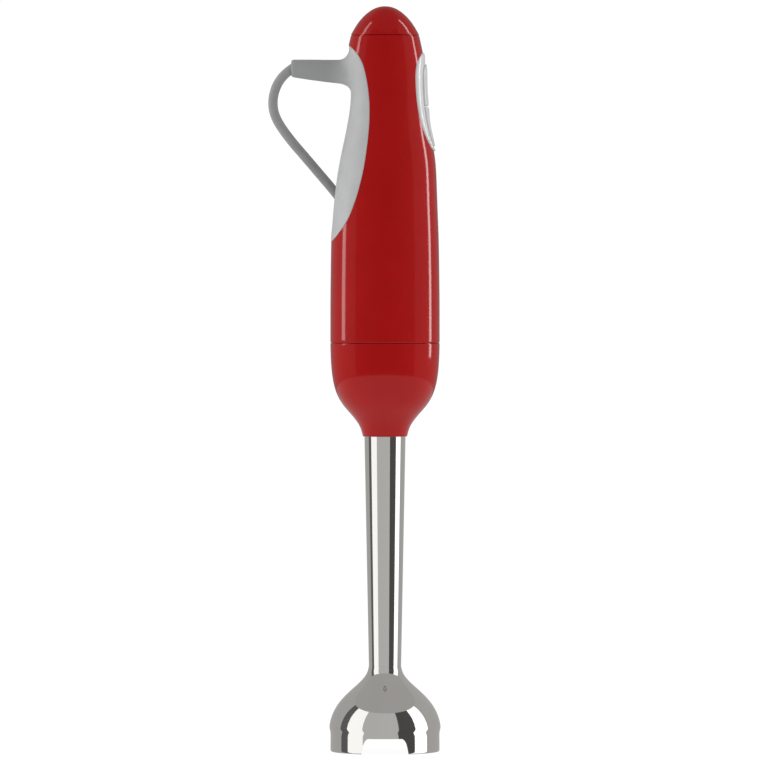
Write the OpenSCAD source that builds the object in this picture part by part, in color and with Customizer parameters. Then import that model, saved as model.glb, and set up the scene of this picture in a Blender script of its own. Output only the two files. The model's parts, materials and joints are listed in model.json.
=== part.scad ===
// Immersion blender: a motor unit with a soft rear grip, a speed dial and two
// buttons, and a blending leg with a bell guard that locks on with a part turn.
// Millimetres. +Z runs up the drive axis, the bell's rim is at z = 0, the
// buttons face +X and the grip and the cord are on -X.

/* [Motor body] */
// Largest radius of the motor body
body_r = 29.5; // [29.5:0.1:31]
// Wall of the body shell
body_wall = 2.2; // [1.8:0.1:2.3]
// Gap at the seams above and below the body shell
seam_gap = 0.4; // [0.3:0.1:0.6]
// Radius of the speed dial at its seam
dial_r = 18.5; // [18:0.1:19]
// Height of the speed dial's dome
dial_h = 15.8; // [14:0.2:18]

/* [Grip and cord exit] */
// Wall of the soft rear grip
grip_wall = 2.6; // [2:0.1:2.8]
// How far the grip stands proud of the body at its edge
grip_proud = 0.3; // [0:0.1:0.6]
// Height of the cord exit, at the body's skin
exit_z = 367.3; // [366:0.1:369]
// Length of the strain relief, from the body's skin to its tip
relief_l = 32.5; // [24:0.5:38]
// Upward tilt of the strain relief
relief_tilt = 2.8; // [0:0.1:6]

/* [Buttons] */
// How far the bezel stands proud of the body
bezel_proud = 0.8; // [0.4:0.1:1]
// How far the buttons stand proud of the body
button_proud = 1.1; // [0.8:0.1:1.6]
// Gap round each button
button_gap = 0.4; // [0.3:0.05:0.5]
// Travel of each button
button_travel = 1.6; // [1:0.1:1.7]

/* [Leg] */
// Radius of the steel tube at its top
tube_r_top = 11.1; // [10.8:0.05:11.2]
// Radius of the steel tube at its bottom
tube_r_low = 8.7; // [8.6:0.05:9]
// Wall of the steel tube
tube_wall = 0.8; // [0.6:0.05:0.9]
// Largest radius of the bell
bell_r = 30.1; // [29:0.1:31]
// Wall of the bell
bell_wall = 1.2; // [0.9:0.1:1.3]
// Width of each notch in the rim, at its foot
notch_w = 25; // [18:0.5:28]
// Height of each notch in the rim
notch_h = 8.5; // [6:0.5:10]
// Radius that the blade sweeps
blade_r = 22; // [18:0.5:24]
// Radius of the drive shaft
shaft_r = 3; // [2.6:0.1:3]

/* [Leg lock] */
// Turn between free and locked
lock_turn = 35; // [20:1:40]
// Half angle of each bayonet lug
lug_half = 12; // [8:1:13]

/* [Power cord] */
// Diameter of the cord
cord_d = 5.6; // [5:0.1:5.6]

/* [Hidden] */
$fn = 48;

seam_z = 220.8;      // foot of the body shell
top_z = 386.2;       // top of the body shell
k_body = body_r / 29.5;

// Radius of the body against height, seen from the button side
front_tab = [[220, 29.5], [240, 29.5], [252, 29.4], [264, 29.25], [276, 29.05],
    [288, 28.6], [300, 28.15], [306, 27.95], [312, 27.75], [318, 27.4],
    [324, 26.6], [330, 25.4], [336, 24.2], [342, 23.2], [348, 22.5],
    [354, 22.25], [360, 22.15], [366, 21.95], [371, 21.55], [376, 20.8],
    [380, 19.95], [383, 19.25], [386.2, 18.5]];
// Distance of the grip's back from the axis against height
back_tab = [[270, 29.1], [276, 28.9], [283, 28.6], [290, 28.1], [296, 27.5],
    [302, 26.9], [308, 26.2], [314, 25.3], [320, 24.2], [326, 22.9],
    [332, 21.6], [338, 20.4], [344, 19.3], [350, 18.5], [356, 18.3],
    [362, 18.5], [368, 18.8], [374, 19.1], [378, 19.3], [381, 19.2]];
// Where the grip's edge runs on the body's side, x against height
edge_tab = [[275.4, -28.8], [277, -27.2], [279, -25.6], [281.5, -23.7],
    [285, -21.2], [288, -19.6], [292, -17.9], [295.5, -16.6], [299, -15.4],
    [303, -14.2], [307, -13.2], [311, -12.2], [315, -11.4], [319, -10.7],
    [323, -10.1], [327, -9.6], [331, -9.1], [335, -8.75], [341, -8.35],
    [347, -8.3], [351, -8.45], [355, -8.8], [359, -9.3], [362, -9.8],
    [365, -10.35], [368, -11.05], [371, -12], [373.5, -13.1], [376, -14.6],
    [378, -16.2], [379.5, -17.6], [380.6, -18.8]];
// Half width of the bezel against height, seen from the front
bezel_tab = [[324, 0.4], [324.5, 4], [325.5, 6.8], [327, 8.9], [329, 10.7],
    [332, 12.2], [336, 13.2], [341, 13.9], [347, 14.3], [353, 14.6],
    [359, 14.8], [363, 14.8], [367, 14.3], [370, 13.4], [372.5, 11.9],
    [374.5, 9.8], [376, 7.4], [377, 4.8], [377.4, 0.4]];
// Half width of the pair of buttons against height
island_tab = [[326.3, 0.4], [326.8, 2.4], [327.8, 4.2], [329.5, 5.9],
    [332, 7.2], [335, 7.9], [340, 8.4], [346, 8.8], [352, 9.2], [358, 9.5],
    [363, 9.5], [366.5, 8.8], [368.8, 7.5], [370.2, 5.8], [371, 3.8],
    [371.4, 0.4]];
split_z = 348.2;     // line between the two buttons
// Outside of the leg's collar, radius against height
collar_tab = [[170.2, 11.9], [170.8, 12.3], [172.5, 12.5], [174.2, 12.9],
    [176.3, 13.9], [178.5, 15.3], [180.6, 17], [182.8, 18.9], [185, 20.9],
    [187, 22.6], [189.3, 24.1], [191.4, 25.3], [193.6, 26.25], [195.8, 27],
    [198, 27.6], [200.5, 28.1], [203, 28.5], [206, 28.85], [210, 29.15],
    [215, 29.4], [220.4, 29.5]];
// Outside of the bell, radius against height
bell_tab = [[0, 29], [0.3, 29.4], [1, 29.6], [3.5, 29.6], [7, 29.4],
    [10, 29.3], [11.4, 29.4], [12.4, 30.05], [13.4, 30.1], [14.9, 29.9],
    [16.5, 29.55], [18.1, 29.15], [19.7, 28.6], [21.3, 27.9], [23, 27.05],
    [24.6, 26.1], [26.2, 25], [27.8, 23.7], [29.4, 22.2], [31.1, 20.6],
    [32.7, 18.8], [34.3, 17], [35.9, 15.15], [37.5, 13.4], [39.2, 11.75],
    [40.8, 10.4], [42.4, 9.5], [44, 9], [46, 8.8]];
tube_low = 46;
tube_top = 184;

// The cord's run: out of the strain relief, round behind the body and down
cord_pts = [[-50.5, 0, 368.9], [-54.7, 0.3, 365.3], [-57.9, 0.8, 360.7],
    [-59.9, 1.4, 355.6], [-60.6, 2.2, 350.2], [-59.9, 3.2, 344.9],
    [-57.7, 4.6, 339.8], [-54.4, 6.3, 334.8], [-50.3, 8.4, 329.4],
    [-45.6, 10.8, 323.9], [-40.7, 13.4, 318.2], [-35.6, 16.2, 312.2],
    [-30.3, 19.5, 306], [-24.8, 23.5, 299.2], [-19.2, 28, 291.2],
    [-14, 32.2, 281.5], [-9.4, 35.6, 269.6], [-5.6, 37.9, 255], [-3, 39, 238],
    [-1.2, 39.4, 218], [-0.3, 39.3, 196], [0, 39, 172], [0, 39.2, 145],
    [0, 40, 115], [0, 41.8, 88], [-0.4, 45, 65], [-1.4, 50.4, 45],
    [-3.2, 58.4, 28.6], [-6, 68, 17], [-9.4, 78, 9.6], [-13.2, 88, 5.4],
    [-17, 98, 3.6], [-20.4, 108, 3.3]];
tail_pts = [[11.4, 160, 14.5], [10.4, 154.6, 15.3], [7.6, 148.6, 16.7],
    [3.9, 142.6, 18.3], [1.1, 138.4, 19.1], [0, 135, 19.2]];
hank_y1 = 123.4;     // centre of the hank's near end
hank_y2 = 161.9;     // centre of the hank's far end
hank_r = 25.2;       // half its width
hank_z = 0.5;        // foot of the hank, on its tie
hank_top = 11.7;     // top of its two layers
hank_rise = 17.3;    // top where the last turn crosses them

function front(z) = lookup(z, front_tab) * k_body;
function back(z) = lookup(z, back_tab) * k_body;
function edge(z) = lookup(z, edge_tab) * k_body;
// A smooth curve through points, n steps to each stretch
function cr(a, b, c, d, t) = 0.5 * ((2 * b) + (c - a) * t
    + (2 * a - 5 * b + 4 * c - d) * t * t + (3 * b - a - 3 * c + d) * t * t * t);
function smooth(p, n) = let (m = len(p) - 1)
    [for (i = [0:m - 1], j = [0:n - 1])
        cr(p[max(i - 1, 0)], p[i], p[i + 1], p[min(i + 2, m)], j / n), p[m]];
function flip(p) = [for (i = [len(p) - 1:-1:0]) p[i]];
function swap(t, d = 0) = [for (q = t) [q[1] + d, q[0]]];
function unit(v) = v / norm(v);

// A tube swept along points, s sides, from rings kept level with each other
module sweep(p, r, s) {
    n = len(p);
    t = [for (i = [0:n - 1]) unit(p[min(i + 1, n - 1)] - p[max(i - 1, 0)])];
    pts = [for (i = [0:n - 1]) let (
            side = unit(cross(t[i], abs(t[i][1]) > 0.9 ? [1, 0, 0] : [0, 1, 0])),
            up = cross(side, t[i]))
        for (k = [0:s - 1]) p[i] + r * (cos(360 * k / s) * side + sin(360 * k / s) * up)];
    faces = concat(
        [[for (k = [0:s - 1]) k]],
        [for (i = [0:n - 2], k = [0:s - 1])
            [i * s + k, (i + 1) * s + k, (i + 1) * s + (k + 1) % s, i * s + (k + 1) % s]],
        [[for (k = [s - 1:-1:0]) (n - 1) * s + k]]);
    polyhedron(pts, faces, convexity = 8);
}
// Part of a ring, from angle a0 to a1
module sector(r0, r1, a0, a1, h) {
    rotate([0, 0, a0]) rotate_extrude(angle = a1 - a0)
        translate([r0, 0]) square([r1 - r0, h]);
}
module ring(r0, r1, h) {
    difference() {
        cylinder(r = r1, h = h);
        translate([0, 0, -1]) cylinder(r = r0, h = h + 2);
    }
}
// A shape drawn in x and z, d deep each way along y
module side_cut(pts, d = 40) {
    rotate([90, 0, 0]) linear_extrude(2 * d, center = true) polygon(pts);
}
// A shape drawn in y and z, from x0 to x1
module front_cut(pts, x0, x1) {
    translate([x0, 0, 0]) rotate([90, 0, 90]) linear_extrude(x1 - x0) polygon(pts);
}
// Outline from a table of half widths, drawn in by d
function oval(tab, d = 0) = concat(
    [for (q = tab) [max(q[1] - d, 0.1), q[0]]],
    [for (q = flip(tab)) [-max(q[1] - d, 0.1), q[0]]]);
function rows_of(t, a, b) = concat([[a, lookup(a, t)]],
    [for (q = t) if (q[0] > a + 0.2 && q[0] < b - 0.2) q], [[b, lookup(b, t)]]);
// A skin that follows the body, from d0 to d1 outside it
module skin(z0, z1, d0, d1) {
    zs = [for (z = [z0:3:z1 - 1]) z, z1];
    rotate_extrude() polygon(concat(
        [for (z = zs) [front(z) + d1, z]],
        [for (z = flip(zs)) [front(z) + d0, z]]));
}

// ---- Motor unit -------------------------------------------------------------

module main_housing() {
    zs = concat([seam_z], [for (q = front_tab) if (q[0] > seam_z + 2) q[0]]);
    color("firebrick") difference() {
        rotate_extrude() polygon(concat(
            [for (z = zs) [front(z), z]],
            [[front(top_z) - body_wall, top_z],
             [front(383.8) - body_wall, 383.8], [7, 383.8], [7, 381.6],
             [front(381.6) - body_wall, 381.6]],
            [for (z = flip(zs)) if (z < 381) [front(z) - body_wall, z]]));
        // the back, where the grip goes
        side_cut(concat([for (q = edge_tab) [edge(q[0]), q[0]]],
            [[-45, 380.6], [-45, 275.4]]));
        // the front, where the bezel goes
        front_cut(oval(bezel_tab, -0.1), 10, 45);
    }
}

module rear_grip() {
    zs = [for (q = edge_tab) q[0]];
    m = 22;
    gap = 0.15;
    pts = [for (z = zs) let (
            xb = edge(z) - gap,
            a = max(back(z) + xb, 0.9),
            yb = sqrt(max(pow(front(z), 2) - xb * xb, 4)) + grip_proud,
            a2 = max(a - grip_wall, 0.4),
            yb2 = max(yb - grip_wall, 1.6))
        each concat(
            [for (i = [0:m]) let (t = -90 + 180 * i / m) [xb - a * cos(t), yb * sin(t), z]],
            [for (i = [0:m]) let (t = 90 - 180 * i / m) [xb - a2 * cos(t), yb2 * sin(t), z]])];
    s = 2 * (m + 1);
    n = len(zs);
    color("darkgray") difference() {
        polyhedron(pts, concat(
            [[for (k = [s - 1:-1:0]) k]],
            [for (i = [0:n - 2], k = [0:s - 1])
                [i * s + k, i * s + (k + 1) % s, (i + 1) * s + (k + 1) % s]],
            [for (i = [0:n - 2], k = [0:s - 1])
                [i * s + k, (i + 1) * s + (k + 1) % s, (i + 1) * s + k]],
            [[for (k = [0:s - 1]) (n - 1) * s + k]]), convexity = 6);
        along_relief(-9) cylinder(r = 6.3, h = 20);
    }
}

// Along the strain relief's own axis, from d outside the body's skin
module along_relief(d = 0) {
    translate([-18, 0, exit_z]) rotate([0, relief_tilt - 90, 0])
        translate([0, 0, d]) children();
}
module strain_relief() {
    e = relief_l;
    color("darkgray") along_relief() rotate_extrude() polygon([[2.85, -4.2],
        [8, -4.2], [8, -2.8], [6.2, -2.8], [6.2, 0.4], [10.8, 0.7], [9.6, 1.6],
        [8.6, 2.8], [7.6, 4.4], [6.9, 6.4], [6.4, 9], [6.05, 12.5], [5.6, 19],
        [5.1, 26], [4.8, e - 3], [4.7, e - 1.2], [4.4, e - 0.4], [3.7, e],
        [2.85, e]]);
}

module cord_inner() {
    color("gray") along_relief(-8) cylinder(r = cord_d / 2, h = 40.3);
}

module cord_clamp() {
    color("dimgray") along_relief() difference() {
        translate([-5, -6.5, -8.6]) cube([10, 13, 4.2]);
        translate([0, 0, -10]) cylinder(r = cord_d / 2 + 0.05, h = 8);
    }
}

module switch_bezel() {
    color("silver") difference() {
        intersection() {
            skin(322, 379, -3, bezel_proud);
            front_cut(oval(bezel_tab), 9, 45);
        }
        front_cut(oval(island_tab), 5, 50);
    }
}

// One button: its cap follows the body and its stem reaches in to the switch
module button(z0, z1, stem_z) {
    intersection() {
        skin(z0 - 6, z1 + 6, -3.6, button_proud);
        front_cut(oval(rows_of(island_tab, z0, z1), button_gap), 10, 45);
    }
    translate([10.4, 0, stem_z]) rotate([0, 90, 0])
        cylinder(r = 2.7, h = front(stem_z) - 3.5 - 10.4);
}
module power_button() { color("silver") button(326.7, split_z - 0.3, 340.5); }
module turbo_button() { color("silver") button(split_z + 0.3, 371, 356.5); }

module button_carrier() {
    color("dimgray") difference() {
        union() {
            translate([11.8, -11.5, 326]) cube([1.6, 23, 44]);
            for (y = [-11.5, 10]) translate([5.9, y, 328]) cube([5.9, 1.5, 6]);
        }
        for (z = [340.5, 356.5]) translate([10, 0, z]) rotate([0, 90, 0])
            cylinder(r = 2.85, h = 6);
    }
}

module control_board() {
    color("darkgreen") translate([4, -12.5, 303]) cube([1.6, 25, 58]);
}
module board_components() {
    color("black") {
        translate([-6.5, -9, 306]) cube([10.4, 8, 14]);
        translate([-1, 6, 312]) rotate([0, 90, 0]) cylinder(r = 4.2, h = 4.9);
        translate([-3.2, -3, 324]) cube([7.1, 11, 8]);
        translate([0.4, -10, 337]) cube([3.5, 6.2, 7.6]);
        translate([5.7, -6, 310]) cube([4, 12, 9]);
    }
}
module tact_switches() {
    color("black") for (z = [340.5, 356.5]) {
        translate([5.65, -3, z - 3]) cube([2.6, 6, 6]);
        translate([8.2, 0, z]) rotate([0, 90, 0]) cylinder(r = 1.7, h = 0.5);
    }
}
module speed_pot() {
    color("dimgray") difference() {
        union() {
            translate([0, 0, 362.5]) cylinder(r = 8.3, h = 8);
            translate([0, 0, 370]) cylinder(r = 4.6, h = 3);
            translate([4.2, -5, 361.2]) cube([3, 10, 4]);
        }
        translate([0, 0, 367]) cylinder(r = 3.1, h = 10);
    }
}
module wiring_loom() {
    color("darkslategray") for (y = [-2.4, 2.4]) {
        translate([-9.8, y, 346]) cylinder(r = 0.9, h = 15.2);
        translate([-9.8, y, 346]) sphere(r = 0.9);
        translate([-9.8, y, 346]) rotate([0, 90, 0]) cylinder(r = 0.9, h = 13.7);
        translate([-9.8, y * 4, 302]) cylinder(r = 0.9, h = 30);
        translate([-9.8, y * 4, 332]) sphere(r = 0.9);
        translate([-9.8, y * 4, 332]) rotate([0, 90, 0]) cylinder(r = 0.9, h = 13.7);
    }
}

module motor_chassis() {
    color("dimgray") {
        difference() {
            union() {
                translate([0, 0, 226.2]) cylinder(r = 25.4, h = 55);
                translate([0, 0, 281.2]) cylinder(r1 = 25.4, r2 = 22.6, h = 17.8);
            }
            translate([0, 0, 225]) cylinder(r = 24.4, h = 56.2);
            translate([0, 0, 281.19]) cylinder(r1 = 24.4, r2 = 22, h = 15.21);
            translate([0, 0, 290]) cylinder(r = 9.6, h = 20);
            for (a = [0:60:300]) rotate([0, 0, a + 30]) translate([16, 0, 290])
                cylinder(r = 3.4, h = 20);
            for (a = [0:45:315]) rotate([0, 0, a]) translate([20, -3, 228])
                cube([10, 6, 6]);
        }
        for (y = [-15.4, 12.7]) translate([2.4, y, 299]) cube([4.8, 2.7, 62]);
    }
}

module stator_core() {
    color("slategray") translate([0, 0, 247]) difference() {
        cylinder(r = 24.2, h = 23);
        translate([0, 0, -1]) cylinder(r = 13.2, h = 25);
        for (a = [50, 230]) translate([0, 0, -1]) sector(12.5, 20.6, a, a + 80, 25);
        for (y = [-26, 21.6]) translate([-30, y, -1]) cube([60, 4.4, 25]);
    }
}
module field_coils() {
    color("peru") translate([0, 0, 244]) for (a = [53, 233])
        sector(14.6, 20.3, a, a + 74, 29);
}
module bracket(z, up) {
    difference() {
        union() {
            translate([0, 0, z]) cylinder(r = up ? 22.6 : 24.2, h = 3);
            translate([0, 0, up ? z : z - 4]) cylinder(r = 9, h = 7);
        }
        translate([0, 0, up ? z + 1 : z - 3]) cylinder(r = 6.55, h = 10);
        translate([0, 0, z - 10]) cylinder(r = 4.4, h = 30);
        if (!up) translate([0, 0, z - 3]) cylinder(r = 6.55, h = 7);
        for (a = [0:60:300]) rotate([0, 0, a + 30]) translate([16.5, 0, z - 1])
            cylinder(r = 4.2, h = 5);
    }
}
module lower_bracket() { color("gainsboro") bracket(240.6, false); }
module upper_bracket() { color("gainsboro") bracket(288.4, true); }
module bearing() { ring(3.03, 6.5, 5); }
module lower_bearing() { color("lightsteelblue") translate([0, 0, 237.7]) bearing(); }
module upper_bearing() { color("lightsteelblue") translate([0, 0, 289.5]) bearing(); }

module two_sides() { for (a = [0, 180]) rotate([0, 0, a]) children(); }
module brush_holders() {
    color("goldenrod") two_sides() difference() {
        translate([9.6, -4, 278.8]) cube([11.4, 8, 8]);
        translate([8, -2.6, 280.2]) cube([15, 5.2, 5.2]);
    }
}
module carbon_brushes() {
    color("black") two_sides() translate([8.1, -2.5, 280.3]) cube([8.9, 5, 5]);
}
module brush_springs() {
    color("silver") two_sides() translate([17.1, 0, 282.8]) rotate([0, 90, 0])
        for (i = [0:4]) translate([0, 0, i * 0.8]) ring(1.5, 2.1, 0.5);
}

module motor_shaft() { color("lightgray") translate([0, 0, 211]) cylinder(r = 3, h = 84); }
module armature_core() {
    color("slategray") translate([0, 0, 247]) difference() {
        cylinder(r = 12.6, h = 23);
        translate([0, 0, -1]) cylinder(r = 3.02, h = 25);
        for (a = [0:30:330]) rotate([0, 0, a]) translate([7.5, -0.9, -1])
            cube([6, 1.8, 25]);
    }
}
module armature_windings() {
    color("sienna") {
        translate([0, 0, 243.9]) ring(4, 11.4, 3);
        translate([0, 0, 270.1]) ring(4, 11.6, 4.6);
    }
}
module commutator() {
    color("peru") translate([0, 0, 276.5]) difference() {
        union() { cylinder(r = 8, h = 10.6); cylinder(r = 9, h = 1.6); }
        translate([0, 0, -1]) cylinder(r = 3.02, h = 14);
        for (a = [0:30:330]) rotate([0, 0, a + 15]) translate([7, -0.3, -1])
            cube([3, 0.6, 14]);
    }
}
module cooling_fan() {
    color("ivory") translate([0, 0, 227.6]) {
        difference() {
            union() {
                cylinder(r = 21, h = 1.2);
                cylinder(r = 6, h = 7.4);
                for (a = [0:36:324]) rotate([0, 0, a]) translate([5.5, 0, 0.8])
                    rotate([0, 0, 18]) cube([15, 1.2, 6]);
            }
            translate([0, 0, -1]) cylinder(r = 3.02, h = 10);
        }
    }
}
// Two dogs on a disc: the motor's half points down and the leg's half up
module motor_coupler() {
    color("dimgray") difference() {
        union() {
            translate([0, 0, 214]) cylinder(r = 8.5, h = 3);
            translate([0, 0, 216.5]) cylinder(r = 5.4, h = 3.4);
            for (a = [-15, 165]) translate([0, 0, 208.6]) sector(4.2, 8.3, a, a + 30, 6);
        }
        translate([0, 0, 205]) cylinder(r = 3.02, h = 20);
    }
}
module shaft_coupler() {
    color("dimgray") difference() {
        union() {
            translate([0, 0, 203.6]) cylinder(r = 8.4, h = 2.8);
            translate([0, 0, 201.2]) cylinder(r = 5.4, h = 3);
            for (a = [75, 255]) translate([0, 0, 206]) sector(4.2, 8.3, a, a + 30, 6.4);
        }
        translate([0, 0, 190]) cylinder(r = shaft_r + 0.02, h = 30);
    }
}

module base_plate() {
    color("dimgray") difference() {
        union() {
            translate([0, 0, 221.4]) cylinder(r = 26.9, h = 4.6);
            translate([0, 0, 207.6]) cylinder(r = 19.8, h = 15);
            for (a = [0, 120, 240])
                translate([0, 0, 208.4]) sector(18.5, 22.2, a - lug_half, a + lug_half, 3);
        }
        translate([0, 0, 200]) cylinder(r = 17.5, h = 21.2);
        translate([0, 0, 200]) cylinder(r = 9.6, h = 40);
        for (a = [60, 180, 300]) rotate([0, 0, a]) translate([23.4, 0, 200])
            cylinder(r = 1.6, h = 40);
        // air slots
        for (a = [15:30:345]) if (a % 120 != 75) rotate([0, 0, a]) translate([12.4, -1, 218])
            cube([4.2, 2, 12]);
    }
}
module base_screws() {
    color("silver") for (a = [60, 180, 300]) rotate([0, 0, a]) translate([23.4, 0, 0]) {
        translate([0, 0, 221.0]) difference() {
            cylinder(r = 1.5, h = 4.9);
            translate([-0.3, -1.1, -1]) cube([0.6, 2.2, 1.5]);
        }
    }
}
module lock_ring_clip() {
    color("silver") translate([0, 0, 207.8]) difference() {
        ring(15.7, 17.45, 0.9);
        translate([12, -2, -1]) cube([8, 4, 3]);
    }
}
module lock_ring() {
    color("orange") difference() {
        translate([0, 0, 209]) ring(12.2, 17.3, 10.2);
        for (a = [-13, 167]) translate([0, 0, 208]) sector(11, 15.7, a, a + 26, 12);
    }
}

module speed_dial() {
    z0 = top_z + seam_gap;
    k = dial_h / 15.8;
    kr = dial_r / 18.5;
    dome = [[18.45, 0], [18.1, 0.9], [17.55, 2], [16.9, 3.2], [16.1, 4.5],
        [15.2, 5.9], [14.2, 7.3], [13, 8.8], [11.7, 10.2], [10.2, 11.6],
        [8.4, 13], [6.3, 14.3], [4, 15.25], [2, 15.7], [0, 15.8]];
    color("firebrick") {
        difference() {
            translate([0, 0, z0]) rotate_extrude() polygon(concat(
                [[0, 0]], [for (q = dome) [q[0] * kr, q[1] * k]]));
            translate([0, 0, z0 - 0.01]) rotate_extrude() polygon(concat(
                [[0, -1], [15.9, -1]], [for (q = dome) if (q[1] < 13.5) [max(q[0] * kr - 2.2, 0), max(q[1] * k - 0.8, 0)]],
                [[0, 12.9 * k]]));
        }
        translate([0, 0, 384.6]) ring(14.2, 15.9, z0 - 384.6 + 2.4);
        translate([0, 0, 376.6]) difference() {
            cylinder(r = 6.4, h = z0 - 376.6 + 13.2 * k);
            translate([0, 0, -1]) cylinder(r = 3.05, h = 9);
            translate([0, 0, 3.2]) ring(5.6, 8, 1.4);
        }
    }
}
module dial_shaft() { color("silver") translate([0, 0, 367.6]) cylinder(r = 3, h = 16.4); }
module dial_clip() {
    color("silver") translate([0, 0, 380]) difference() {
        ring(5.65, 8.6, 1);
        translate([4, -2.2, -1]) cube([6, 4.4, 3]);
    }
}

// ---- Leg --------------------------------------------------------------------

module leg_collar() {
    n = len(collar_tab);
    color("firebrick") rotate_extrude() polygon(concat(
        [for (q = collar_tab) [q[1], q[0]]],
        [for (q = flip(collar_tab)) [max(q[1] - body_wall, tube_r_top + 0.2), q[0]]]));
}
module socket_insert() {
    color("dimgray") {
        difference() {
            translate([0, 0, 202]) cylinder(r = 25.8, h = 17.4);
            translate([0, 0, 206.8]) cylinder(r = 20.15, h = 20);
            // the lugs' groove, with a rib that stops each lug once it is locked
            difference() {
                translate([0, 0, 207.9]) cylinder(r = 22.6, h = 4);
                for (a = [0, 120, 240]) translate([0, 0, 207]) sector(18, 25,
                    a - lock_turn - lug_half - 6, a - lock_turn - lug_half - 2, 6);
            }
            // the lugs' ways in
            for (a = [0, 120, 240]) translate([0, 0, 209])
                sector(18, 22.6, a - lug_half - 3, a + lug_half + 3, 20);
            translate([0, 0, 200]) cylinder(r = 9.2, h = 10);
            for (a = [60, 180, 300]) rotate([0, 0, a]) translate([11.1, 0, 200])
                cylinder(r = 1.3, h = 10);
        }
        // keys for the lock ring
        for (a = [-10, 170]) translate([0, 0, 204]) sector(13.1, 15.3, a, a + 20, 11);
    }
}
module insert_screws() {
    color("silver") for (a = [60, 180, 300]) rotate([0, 0, a]) translate([11.1, 0, 0]) {
        translate([0, 0, 193.5]) cylinder(r = 1.25, h = 13.6);
        translate([0, 0, 206.85]) cylinder(r = 1.6, h = 1.3);
    }
}
module leg_core() {
    color("dimgray") difference() {
        union() {
            translate([0, 0, 152]) cylinder(r = 9.6, h = 36);
            translate([0, 0, 184.4]) cylinder(r = 13.4, h = 17.4);
        }
        translate([0, 0, 150]) cylinder(r = 4.2, h = 60);
        translate([0, 0, 190]) cylinder(r = 6.55, h = 20);
        for (a = [60, 180, 300]) rotate([0, 0, a]) translate([11.1, 0, 193])
            cylinder(r = 1.3, h = 20);
    }
}
module upper_bush() { color("goldenrod") translate([0, 0, 190.2]) ring(shaft_r + 0.04, 6.5, 10); }

function tube_r(z) = tube_r_low + (tube_r_top - tube_r_low) * (z - tube_low) / (170 - tube_low);
module shaft_tube() {
    color("silver") rotate_extrude() polygon([
        [tube_r(tube_low) - tube_wall, tube_low], [tube_r(tube_low), tube_low],
        [tube_r_top, 170], [tube_r_top, tube_top],
        [tube_r_top - tube_wall, tube_top], [tube_r_top - tube_wall, 170]]);
}
module tube_liner() { color("dimgray") translate([0, 0, 52]) ring(4.4, 7.6, 99); }
module bell_guard() {
    kb = bell_r / 30.1;
    prof = [for (q = bell_tab) [q[0] < 40 ? q[1] * kb : q[1], q[0]]];
    ins = [for (q = bell_tab) if (q[0] == 0 || (q[0] > 2 && q[0] != 12.4 && q[0] != 11.4))
        let (r = q[0] < 40 ? q[1] * kb : q[1], slope = q[0] > 15 && q[0] < 42 ? 1.35 : 1)
        [q[0] == 0 ? 28.1 * kb : max(r - bell_wall * slope, 7.6), q[0]]];
    w = notch_w / 2;
    color("silver") difference() {
        rotate_extrude() polygon(concat(prof, flip(ins)));
        side_cut([[-w, -1], [w, -1], [w - 0.5, notch_h - 4.6], [w - 1, notch_h - 2.9],
            [w - 2.1, notch_h - 1.2], [w - 3.6, notch_h - 0.2], [w - 5, notch_h],
            [-w + 5, notch_h], [-w + 3.6, notch_h - 0.2], [-w + 2.1, notch_h - 1.2],
            [-w + 1, notch_h - 2.9], [-w + 0.5, notch_h - 4.6]]);
    }
}
module bell_hub() {
    color("dimgray") difference() {
        translate([0, 0, 26]) cylinder(r = 7.3, h = 25);
        translate([0, 0, 28.8]) cylinder(r = 6.05, h = 30);
        translate([0, 0, 20]) cylinder(r = 3.7, h = 20);
    }
}
module lower_bush() { color("goldenrod") translate([0, 0, 38]) ring(shaft_r + 0.04, 6, 12); }
module shaft_seal() {
    color("black") translate([0, 0, 29]) difference() {
        cylinder(r = 6, h = 7);
        translate([0, 0, -1]) cylinder(r = shaft_r + 0.05, h = 9);
        translate([0, 0, -0.5]) ring(4, 5.2, 4.5);
    }
}
module drive_shaft() { color("lightgray") translate([0, 0, 8.2]) cylinder(r = shaft_r, h = 197); }
module shaft_circlip() {
    color("silver") translate([0, 0, 50.4]) difference() {
        ring(shaft_r + 0.02, 4.1, 0.9);
        translate([0, -1.2, -1]) cube([6, 2.4, 3]);
    }
}
module blade_hub() {
    color("dimgray") difference() {
        union() {
            translate([0, 0, 15.2]) cylinder(r = 5.4, h = 10);
            translate([0, 0, 22]) cylinder(r1 = 5.4, r2 = 6.8, h = 3.2);
        }
        translate([0, 0, 5]) cylinder(r = shaft_r + 0.02, h = 30);
    }
}
// Two wings, one turned up at its tip and one down
module wing(tilt) {
    k = blade_r / 22;
    linear_extrude(1.5) polygon([[0, -5.5], [5, -5.6], [12.6 * k, -4.2], [13.2 * k, 5.4], [5, 5.2], [0, 5.5]]);
    translate([12.4 * k, 0, 0.75]) rotate([0, -tilt, 0]) translate([0, 0, -0.75])
        linear_extrude(1.5) polygon([[0, -4.3], [6 * k, -3], [8.6 * k, 0.6], [8.9 * k, 4.2], [7.6 * k, 5.3], [0, 5.5]]);
}
module blade() {
    color("lightgray") difference() {
        union() {
            translate([0, 0, 13.5]) wing(38);
            translate([0, 0, 13.5]) rotate([0, 0, 180]) wing(-30);
            translate([0, 0, 13.5]) cylinder(r = 6.8, h = 1.5);
        }
        translate([0, 0, 5]) cylinder(r = shaft_r + 0.02, h = 20);
    }
}
module blade_nut() {
    color("silver") translate([0, 0, 7]) difference() {
        union() {
            cylinder(r = 4.6, h = 4.4, $fn = 6);
            translate([0, 0, 4]) cylinder(r = 5.6, h = 2.4);
        }
        translate([0, 0, 1.2]) cylinder(r = shaft_r + 0.02, h = 8);
    }
}

// ---- Free cord --------------------------------------------------------------

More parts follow.
